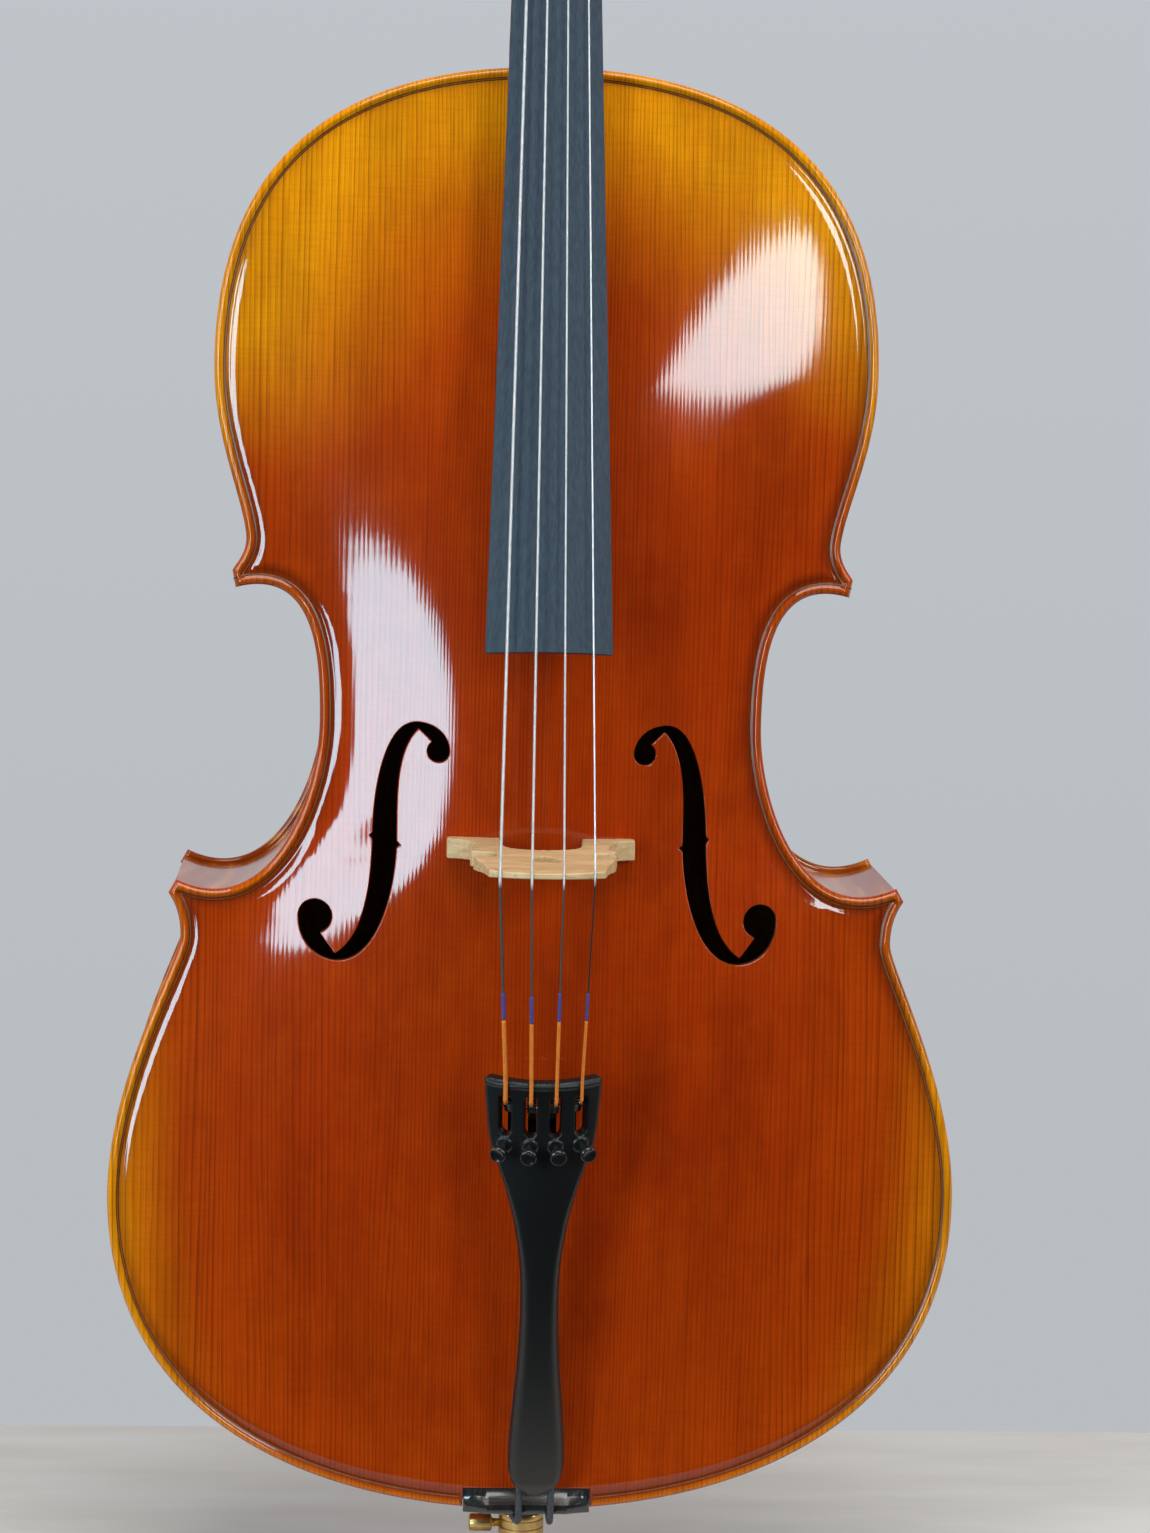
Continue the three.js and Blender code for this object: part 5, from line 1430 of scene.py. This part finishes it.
def music_string(name, radius, at_nut, at_bridge, at_tail):
    """A string from its tuner's hook over the bridge and the nut to its peg, with its silk and its ball."""
    s, _ = PEGS[name]
    hook = tuple(tuner_frame(at_tail, 0) @ Vector((0, 1.2, SLOT_TO - 3.5)))
    lower = [hook, over_tail(at_tail, SLOT_TO - 1, radius), over_tail(at_tail, TAIL_LENGTH - 0.8, radius)]
    top = bridge_base - BRIDGE_HEIGHT + at_bridge ** 2 / (2 * CROWN_RADIUS) - radius - 0.1
    on_bridge = [(at_bridge, top, BRIDGE_BACK_Z), (at_bridge, top, BRIDGE_BACK_Z + CROWN_DEPTH)]
    over_nut = board_top(at_nut, NECK_LENGTH) - NUT_RISE - radius - 0.1
    on_nut = [from_neck((at_nut, over_nut, NECK_LENGTH + v)) for v in (1, 7)]
    in_box = from_neck((at_nut * 0.75, peg_depth(s) - 6.2 - radius, s - 2))
    path = densely([*lower, *on_bridge, *on_nut, in_box], 12)
    marks = along_marks(path, STRING_SIDES)
    # Painted shade: the strings below the bridge are darkened in their material.
    marks["dull"] = np.repeat(np.where(path[:, 2] < BRIDGE_BACK_Z, 1.0, 0.0), STRING_SIDES)
    sweep(f"string_{name}_fine", path, radius, PLAIN_STEEL if name == "a" else WOUND, sides=STRING_SIDES,
          marks=marks, slot="string_steel", replaces=[f"string_{name}"])
    silk = densely([*lower, on_bridge[0]], 0.8)
    change = SILK_CHANGE - (1.6 if name == "g" else 0)
    silks = (
        ("orange", 0, change + 0.9, 1.1, ORANGE_SILK),
        ("purple", change, change + PURPLE_LENGTH, 1.0, PURPLE_SILK),
    )
    for label, low, high, swell, material in silks:
        stretch = silk[(silk[:, 2] > low) & (silk[:, 2] <= high)]
        radii = np.full(len(stretch), (radius * 0.8 + 0.42) * swell)
        radii[[0, -1]] *= 0.7
        wobble = 0.05 * np.sin(np.arange(len(stretch)) * 1.9)
        sweep(f"string_{name}_{label}_silk", stretch, radii + wobble, material, sides=SILK_SIDES,
              marks=along_marks(stretch, SILK_SIDES), slot="cord")
    ball = Matrix.Translation(hook) @ TAIL.to_3x3().to_4x4() @ ACROSS
    profile = [(0.3, -0.8), (1.0, -0.8), (1.18, -0.55), (1.18, 0.55), (1.0, 0.8), (0.3, 0.8)]
    ring_lathe(f"string_{name}_ball", profile, ball, BRASS, sides=20, slot="brass")


for name, sizes in STRINGS.items():
    music_string(name, *sizes)


# ---------------------------------------------------------------- neck, pegbox and scroll

def neck_loft(name, rings, **options):
    """A piece of the neck's maple, with flame bands round it, from rings in the neck's frame."""
    points = np.vstack(rings)
    figure = (points[:, 2] + 0.3 * np.abs(points[:, 0])) * MM
    loft(name, rings, MAPLE, local=NECK, marks={"figure": figure}, slot="varnished_maple", **options)


def half_round(half, depth, power):
    """A half oval of places across and deep, flat where it starts and ends."""
    angles = np.radians(np.linspace(180, 0, 33))
    bulge = [depth * math.sin(a) ** power if 0 < a < math.pi else 0.0 for a in angles]
    return zip(half * np.cos(angles), bulge)


shaft_depth = table([(-6, 26), (30, 24.5), (120, 22.5), (260, 20.5), (300, 21)])
heel_height = table([(-12, 50), (2, 47), (10, 38), (20, 28), (38, 21.5), (75, 18), (119.3, 17.4)])
heel_half = table([(-12, 21.6), (2, 21.3), (10, 20.8), (20, 20.1), (38, 18.8), (75, 16.4), (119.3, 14.4)])
TO_NECK = NECK.inverted()


def neck_shaft():
    rings = []
    for s in np.concatenate([[-4, -3.2], np.linspace(4, 286, 60), [292.4, 293]]):
        half = board_half(s) + (0.15 if 0 < s < 290 else -0.4)
        rings.append([(x, y, s) for x, y in half_round(half, float(shaft_depth(s)), 0.8)])
    neck_loft("neck_shaft", rings, replaces=["neck_and_scroll"])


def heel():
    """The heel down to the back's button, and the tongue that sits in the block."""
    bottom = BODY_LENGTH - OVERHANG + 0.6
    rings = []
    for y in np.concatenate([np.linspace(-12, 20, 22), np.linspace(23, 118.6, 26), [119.0]]):
        section = half_round(float(heel_half(y)), float(heel_height(y)), 0.85)
        rings.append([tuple(TO_NECK @ Vector((x, y, bottom + up))) for x, up in section])
    neck_loft("neck_heel", rings)
    tongue = [[(h, y, 744), (h, y, 756), (-h, y, 756), (-h, y, 744)] for h, y in ((20.5, -19), (14, 119.3))]
    loft("neck_tongue", tongue, RAW, slot="raw_wood")


PEGBOX_WALL = 7.5
pegbox_back = table([
    (280, 20.5), (290, 27), (302, 38), (320, 47), (345, 52.5), (380, 55), (415, 54), (440, 52.5),
])
pegbox_floor = table([(300, 18), (312, 36), (340, 44.5), (380, 47), (416, 42), (422, 30)])


def pegbox_half(s):
    """Half the pegbox's width at a station s along the neck."""
    return 21 - 6 * (s - 288) / 144


PEG_AT_HEAD, PEG_AT_TIP = 6.4, 5.0  # a peg's radius in the wall at its head's side, and in the other one
PEG_GAP = 0.35


def cheek(side_name):
    """One wall of the pegbox, with a round hole for each peg's shaft."""
    side = SIDES[side_name]
    stations = np.linspace(286, 440, 78)
    front = [(float(max(pegbox_front(s), 0)), s) for s in stations]
    back = [(float(pegbox_back(s)), s) for s in stations[::-1]]
    loop = np.array(front + back)
    holes = []
    for s, head in PEGS.values():
        radius = (PEG_AT_HEAD if head == side else PEG_AT_TIP) + PEG_GAP
        holes.append(arc((peg_depth(s), s), radius, 0, 360, 28)[:-1][::-1])
    closed = [shut(line) for line in (loop, *holes)]
    grid = [grid_over(np.arange(-2, 58, 2.2), np.arange(284, 442, 2.2))]
    for line in closed:
        grid += [line[:-1] + d * inward(line)[:-1] for d in (0.3, -0.3, 0.8, -0.8, 1.5, -1.5)]
    grid = in_sheet(np.vstack(grid), loop, holes)
    grid = grid[away_from(closed, grid) > 0.25]

    def outer(plan):
        swell = 1.1 * np.sin(np.pi * np.clip((plan[:, 0] - pegbox_front(plan[:, 1])) / 34, 0, 1))
        half = pegbox_half(plan[:, 1]) - rounding(away_from(closed, plan), 1.0)[0]
        return half + swell * (plan[:, 1] < 425)

    def inner(plan):
        return pegbox_half(plan[:, 1]) - PEGBOX_WALL

    def marks(plan):
        return {"figure": (plan[:, 1] + 0.4 * plan[:, 0]) * MM}

    stand = Matrix(((0, side, 0, 0), (1, 0, 0, 0), (0, 0, 1, 0), (0, 0, 0, 1)))
    plan_solid(
        f"pegbox_cheek_{side_name}", [loop, *holes], grid, sloped(outer, 0.15, 6), sloped(inner, 0.15, 6), [MAPLE],
        local=NECK @ stand, marks=marks, slot="varnished_maple",
    )


def pegbox_bottom():
    """The floor and back of the pegbox between its cheeks, fluted along the back."""
    rings = []
    for s in np.linspace(286, 440, 60):
        half = pegbox_half(s) - PEGBOX_WALL + 0.6
        deep = float(pegbox_back(s)) - 0.5
        low = float(pegbox_floor(s)) if 301 < s < 421 else float(max(pegbox_front(s), 0)) + 0.8
        low = min(low, deep - 6)
        across = np.linspace(-half, half, 15)
        fluted = [(x, deep - 1.8 * bell(abs(x), half * 0.55, half * 0.32), s) for x in across]
        rings.append(fluted + [(half, low, s), (-half, low, s)])
    neck_loft("pegbox_floor", rings)


SCROLL_Y, SCROLL_S, SCROLL_RADIUS, SCROLL_SHRINK = 22.0, 456.0, 33.0, 0.078
SCROLL_TURNS, SCROLL_STEPS, SCROLL_START = 2.2, 230, math.radians(-62)
VOLUTE_SIDE = [(1.0, 0.42), (0.93, 0.30), (0.80, 0.20), (0.5, 0.12)]  # shares of the half width and the depth


def volute_half(share):
    """Half the volute's width, at a share of its length from the pegbox to the eye."""
    return 13.2 + 17.1 * max(0, share) ** 1.15


def scroll():
    """The volute: a channelled band that winds in towards the eye, growing wider from turn to turn."""
    rings = []
    for k in range(SCROLL_STEPS + 1):
        share = k / SCROLL_STEPS
        angle = SCROLL_START + share * SCROLL_TURNS * 2 * math.pi
        radius = SCROLL_RADIUS * math.exp(-SCROLL_SHRINK * max(0, angle)) - 0.3
        inner = radius * (0.60 - 0.12 * share)
        half = volute_half(share)
        low_half = min(volute_half(share - 1 / SCROLL_TURNS), half)
        section = []
        for x in np.linspace(-half, half, 25):
            flute = 1.9 * bell(abs(x), half * 0.52, half * 0.30)
            edge = max(0.0, abs(x) / half - 0.93) / 0.07
            section.append((x, radius - flute - edge))
        wall = []
        for width, (across, deep) in zip([half, half, half, low_half], VOLUTE_SIDE):
            wall.append((width * across, inner + (radius - inner) * deep))
        section += wall + [(-x, r) for x, r in wall[::-1]]
        along, up = math.cos(angle), math.sin(angle)
        rings.append([(x, SCROLL_Y + r * along, SCROLL_S + r * up) for x, r in section])
    neck_loft("scroll_volute", rings, sharp=50)
    cone = [
        (0, 31.4), (4.5, 31.3), (6.4, 30.6), (6.9, 29.6), (7.2, 27.5), (9.6, 25.5), (12.5, 20), (17.5, 14),
        (21, 9.5),
    ]
    cone = [(r, -x) for r, x in cone] + cone[::-1]
    eye = Matrix.Translation((0, SCROLL_Y, SCROLL_S)) @ ACROSS
    lathe("scroll_core", cone, NECK @ eye, MAPLE, sides=64, slot="varnished_maple")


def peg(name, s, side):
    """A peg: its tapered shaft and collar, its thumb piece, and the string's turns round it."""
    wall = pegbox_half(s)
    tip = [(0, -2), (4.2, -2), (4.8, -1.5), (5.0, 0)]
    head = [
        (6.35, 0), (6.7, 1.2), (7.0, 3), (8.3, 3.3), (9.0, 4.1), (9.0, 5.2), (8.6, 6.0), (8.9, 6.8),
        (8.9, 7.7), (7.6, 8.6), (6.1, 9.8), (5.4, 11.5), (5.3, 14), (5.0, 16), (0, 16),
    ]
    profile = [(r, x - wall) for r, x in tip] + [(r, x + wall) for r, x in head]
    turn = Matrix.Translation((0, peg_depth(s), s)) @ Matrix.Rotation(side * math.pi / 2, 4, "Y")
    ties = dict(body=f"peg_{name}", slot="ebony")
    lathe(f"peg_{name}_shaft", profile, NECK @ turn, EBONY, sides=40, **ties, replaces=[f"peg_{name}"])
    low = chain(
        [(12, -5)],
        bezier((12, -5), (17, -14), (28, -17), (38, -13), 16),
        bezier((38, -13), (44, -9), (45, -4), (45, 0), 10),
    )
    edge = np.vstack([low, low[-2::-1] * [1, -1]])
    centre = edge.mean(0)
    rings = []
    for scale, half in ((0.5, 3.4), (0.8, 3.9), (0.93, 4.3), (0.985, 3.9), (1.0, 3.0)):
        rings.append([(side * (u + wall), half, v) for u, v in centre + (edge - centre) * scale])
    blade = rings + [[(x, -y, z) for x, y, z in ring] for ring in rings[::-1]]
    loft(f"peg_{name}_thumb", blade, EBONY, local=NECK @ Matrix.Translation((0, peg_depth(s), s)), **ties)
    radius, at_nut, _, _ = STRINGS[name]
    helix = []
    rounds, steps = 4, 18
    for k in range(rounds * steps + 1):
        a = 2 * math.pi * k / steps
        x = at_nut * 0.75 + side * (k / steps - rounds / 2) * radius * 2.2
        r = float(np.interp(side * x, [-wall, wall], [5.0, 6.35])) + radius * 0.9
        helix.append((x, peg_depth(s) - r * math.cos(a), s - r * math.sin(a)))
    sweep(f"peg_{name}_winding", helix, radius * 0.9, WOUND, local=NECK, sides=8, body=f"peg_{name}",
          slot="string_steel")


neck_shaft()
heel()
for side_name in SIDES:
    cheek(side_name)
pegbox_bottom()
scroll()
for name, (s, side) in PEGS.items():
    peg(name, s, side)


# ---------------------------------------------------------------- endpin

AXIS = Matrix.Translation((0, MIDDLE_Y, 0))
ROD_RADIUS = 5.0
BORE = ROD_RADIUS + 0.5
COLLAR_TOP, COLLAR_BOTTOM = -19.3, -44.0
FOOT_Z = -75.0


def endpin():
    """The plug in the end block, the collar with its clamp screw, and the rod with its foot."""
    ring_lathe("endpin_plug_fine", [
        (BORE, COLLAR_TOP + 0.3), (11.9, COLLAR_TOP + 0.3), (12.4, -18.6), (12.4, -11.4), (12.1, -10.6),
        (11.4, -10.1), (11.3, -7), (11.5, -4.3), (12.4, -3.7), (13.3, -3), (13.6, -2), (13.6, 2.2),
        (12.2, 2.8), (10.8, 40), (BORE, 40),
    ], AXIS, EBONY, sides=72, slot="ebony", replaces=["endpin_plug"])
    grooves = []
    for z in (-37.0, -32.0, -27.0, -22.4):
        grooves += [(12.4, z - 0.55), (11.75, z - 0.4), (11.75, z + 0.4), (12.4, z + 0.55)]
    ring_lathe("endpin_collar_fine", [
        (BORE, COLLAR_BOTTOM), (9.9, COLLAR_BOTTOM), (10.6, -43.8), (12.0, -42.6), (12.4, -41.6), *grooves,
        (12.4, -20), (12.1, COLLAR_TOP), (BORE, COLLAR_TOP),
    ], AXIS, BRASS, sides=72, sharp=30, slot="brass", replaces=["endpin_collar"])
    screw = Matrix.Translation((0, MIDDLE_Y, -26)) @ Matrix.Rotation(-math.pi / 2, 4, "Y")
    thread = [(2.5 if k % 2 else 2.2, 5.8 + 0.35 * k) for k in range(28)]
    ties = dict(body="endpin_clamp_screw", slot="brass")
    shank = [(0, 5.4), (2.1, 5.4), *thread, (2.5, 15.8), (2.5, 16.2), (0, 16.2)]
    lathe("clamp_screw_shank", shank, screw, BRASS, sides=24, sharp=30, **ties, replaces=["endpin_clamp_screw"])
    ridges = 28
    rings = []
    for radius, z in ((3.6, 16.0), (4.3, 16.3), (4.8, 17.0), (4.8, 27.6), (4.3, 28.3), (3.4, 28.6)):
        knurl = 0.16 if 16.5 < z < 28 else 0.0
        angles = turns(ridges * 4)
        r = radius - knurl * (0.5 + 0.5 * np.cos(ridges * angles))
        rings.append([(a * math.cos(t), a * math.sin(t), z) for a, t in zip(r, angles)])
    loft("clamp_screw_head", rings, BRASS, local=screw, sharp=45, **ties)
    low = FOOT_Z + 14
    rod = [(0, low), (4.6, low), (5, low + 0.6)]
    for z in range(60, 420, 40):
        rod += [(5, z - 0.5), (4.75, z), (5, z + 0.5)]
    rod += [(5, low + 497), (4.6, low + 499), (3, low + 500), (0, low + 500)]
    lathe("endpin_rod_fine", rod, AXIS, STEEL, sides=40, sharp=15, body="endpin", slot="rod_steel",
          replaces=["endpin_rod"])
    foot = [(0, 0), (5.2, 0), (6.6, 0.5), (7.8, 1.7), (8.5, 3.4)]
    for z in (6.0, 8.2, 10.4):
        foot += [(8.45, z - 0.5), (7.95, z), (8.4, z + 0.5)]
    foot += [(7.9, 17), (7.3, 22.4), (6.6, 23.7), (5.9, 24), (5.3, 24), (5.3, 13.7), (0, 13.7)]
    foot = [(r, FOOT_Z + z) for r, z in foot]
    lathe("endpin_foot_fine", foot, AXIS, RUBBER, sides=48, sharp=45, body="endpin", slot="rubber",
          replaces=["endpin_foot"])


endpin()


# ---------------------------------------------------------------- camera, lights and floor

LENS, SENSOR = 91.17, 36.0  # mm
CAMERA_AT = (-84.315, -2010.41, 611.5)  # in the body frame
CAMERA_TURN, CAMERA_TURN_AXIS = 0.1187905, (-0.106377, -0.0177295, -0.0497897)


def add_camera():
    """In front of the object, a little to its bass side, turned slightly from looking along +Y."""
    data = bpy.data.cameras.new("camera")
    data.lens = LENS
    data.sensor_width = SENSOR
    camera = bpy.data.objects.new("camera", data)
    bpy.context.scene.collection.objects.link(camera)
    tilt = Matrix.Rotation(CAMERA_TURN, 3, Vector(CAMERA_TURN_AXIS).normalized())
    upright = Matrix(((1, 0, 0), (0, 0, -1), (0, 1, 0)))
    place = Vector(to_frame([CAMERA_AT])[0])
    camera.matrix_world = Matrix.LocRotScale(place, (tilt @ upright).to_quaternion(), None)
    bpy.context.scene.camera = camera


def add_light(name, size, power, colour, place):
    light = bpy.data.lights.new(name, "AREA")
    light.shape = "RECTANGLE"
    light.size, light.size_y = size
    light.energy = power
    light.color = colour
    box = bpy.data.objects.new(name, light)
    box.matrix_world = place
    box.visible_camera = False
    bpy.context.scene.collection.objects.link(box)


def add_softbox(name, middle, size, lean, power, colour):
    """A flat light that faces the object along +Y. lean turns it clockwise in its own plane, in degrees."""
    across, rise = math.cos(math.radians(lean)), math.sin(math.radians(lean))
    turn = Matrix(((across, rise, 0), (0, 0, -1), (-rise, across, 0)))
    add_light(name, size, power, colour, Matrix.LocRotScale(Vector(middle), turn.to_quaternion(), None))


def add_lamp(name, middle, size, power, colour, aim):
    """A flat light that faces the point aim."""
    turn = (Vector(aim) - Vector(middle)).to_track_quat("-Z", "Y")
    add_light(name, size, power, colour, Matrix.LocRotScale(Vector(middle), turn, None))


def add_world():
    """A pale grey studio behind, and a darker room in front, so that the varnish stays deep."""
    world = bpy.data.worlds.new("studio")
    world.use_nodes = True
    bpy.context.scene.world = world
    world.node_tree.nodes.clear()
    n = Nodes(world.node_tree)
    where = n.node("ShaderNodeTexCoord", output="Generated")
    back = n.node("ShaderNodeMapRange", n.node("ShaderNodeSeparateXYZ", where, output=1), -1, 1)
    rise = n.node("ShaderNodeMapRange", n.node("ShaderNodeSeparateXYZ", where, output=2), -0.2, 0.25)
    room = n.ramp(
        back,
        (0.0, (0.012, 0.012, 0.013)),
        (0.45, (0.02, 0.02, 0.022)),
        (0.62, (0.40, 0.41, 0.43)),
        (1.0, (0.5, 0.51, 0.54)),
    )
    backdrop = n.ramp(rise, (0.0, (0.485, 0.51, 0.535)), (1.0, (0.545, 0.575, 0.615)))
    seen = n.mix(n.node("ShaderNodeLightPath", output="Is Camera Ray"), room, backdrop)
    background = n.node("ShaderNodeBackground", seen)
    output = world.node_tree.nodes.new("ShaderNodeOutputWorld")
    n.connect(output.inputs["Surface"], background)


def add_floor():
    """A plain pale slab under the object."""
    far, near, half = 0.36, -0.22, 1.6
    mesh = bpy.data.meshes.new("floor")
    corners = [(-half, near), (half, near), (half, far), (-half, far)]
    points = [(x, y, 0) for x, y in corners] + [(x, y, -0.03) for x, y in corners]
    faces = [(0, 1, 2, 3), (7, 6, 5, 4), (0, 4, 5, 1), (1, 5, 6, 2), (2, 6, 7, 3), (3, 7, 4, 0)]
    mesh.from_pydata(points, [], faces)
    floor = bpy.data.objects.new("floor", mesh)
    m = Shader("pale_floor", Roughness=0.6)
    cloud = m.noise((6, 22, 6), 4)
    colour = m.mix(m.band(cloud, 0.3, 0.7), (0.78, 0.75, 0.71), (0.70, 0.66, 0.61))
    mesh.materials.append(m.set(Base_Color=colour))
    bpy.context.scene.collection.objects.link(floor)


add_camera()
add_softbox("softbox_left", (-1.20, -1.86, 0.47), (0.44, 1.08), 25, 28, (0.58, 0.86, 1.0))
add_softbox("softbox_right", (0.86, -1.86, 1.07), (0.41, 0.58), 29, 12.5, (0.76, 0.97, 1.0))
add_lamp("overhead", (0.1, -1.1, 2.75), (2.2, 1.3), 50, (1.0, 0.985, 0.96), (0, -0.1, 0.5))
add_lamp("side_left", (-2.5, -1.0, 1.3), (0.7, 1.6), 20, (1.0, 0.99, 0.98), (0, 0, 0.5))
add_lamp("side_right", (2.5, -1.0, 1.3), (0.7, 1.6), 20, (1.0, 0.99, 0.98), (0, 0, 0.5))
add_world()
add_floor()
bpy.context.scene.view_settings.view_transform = "Standard"
bpy.context.view_layer.update()
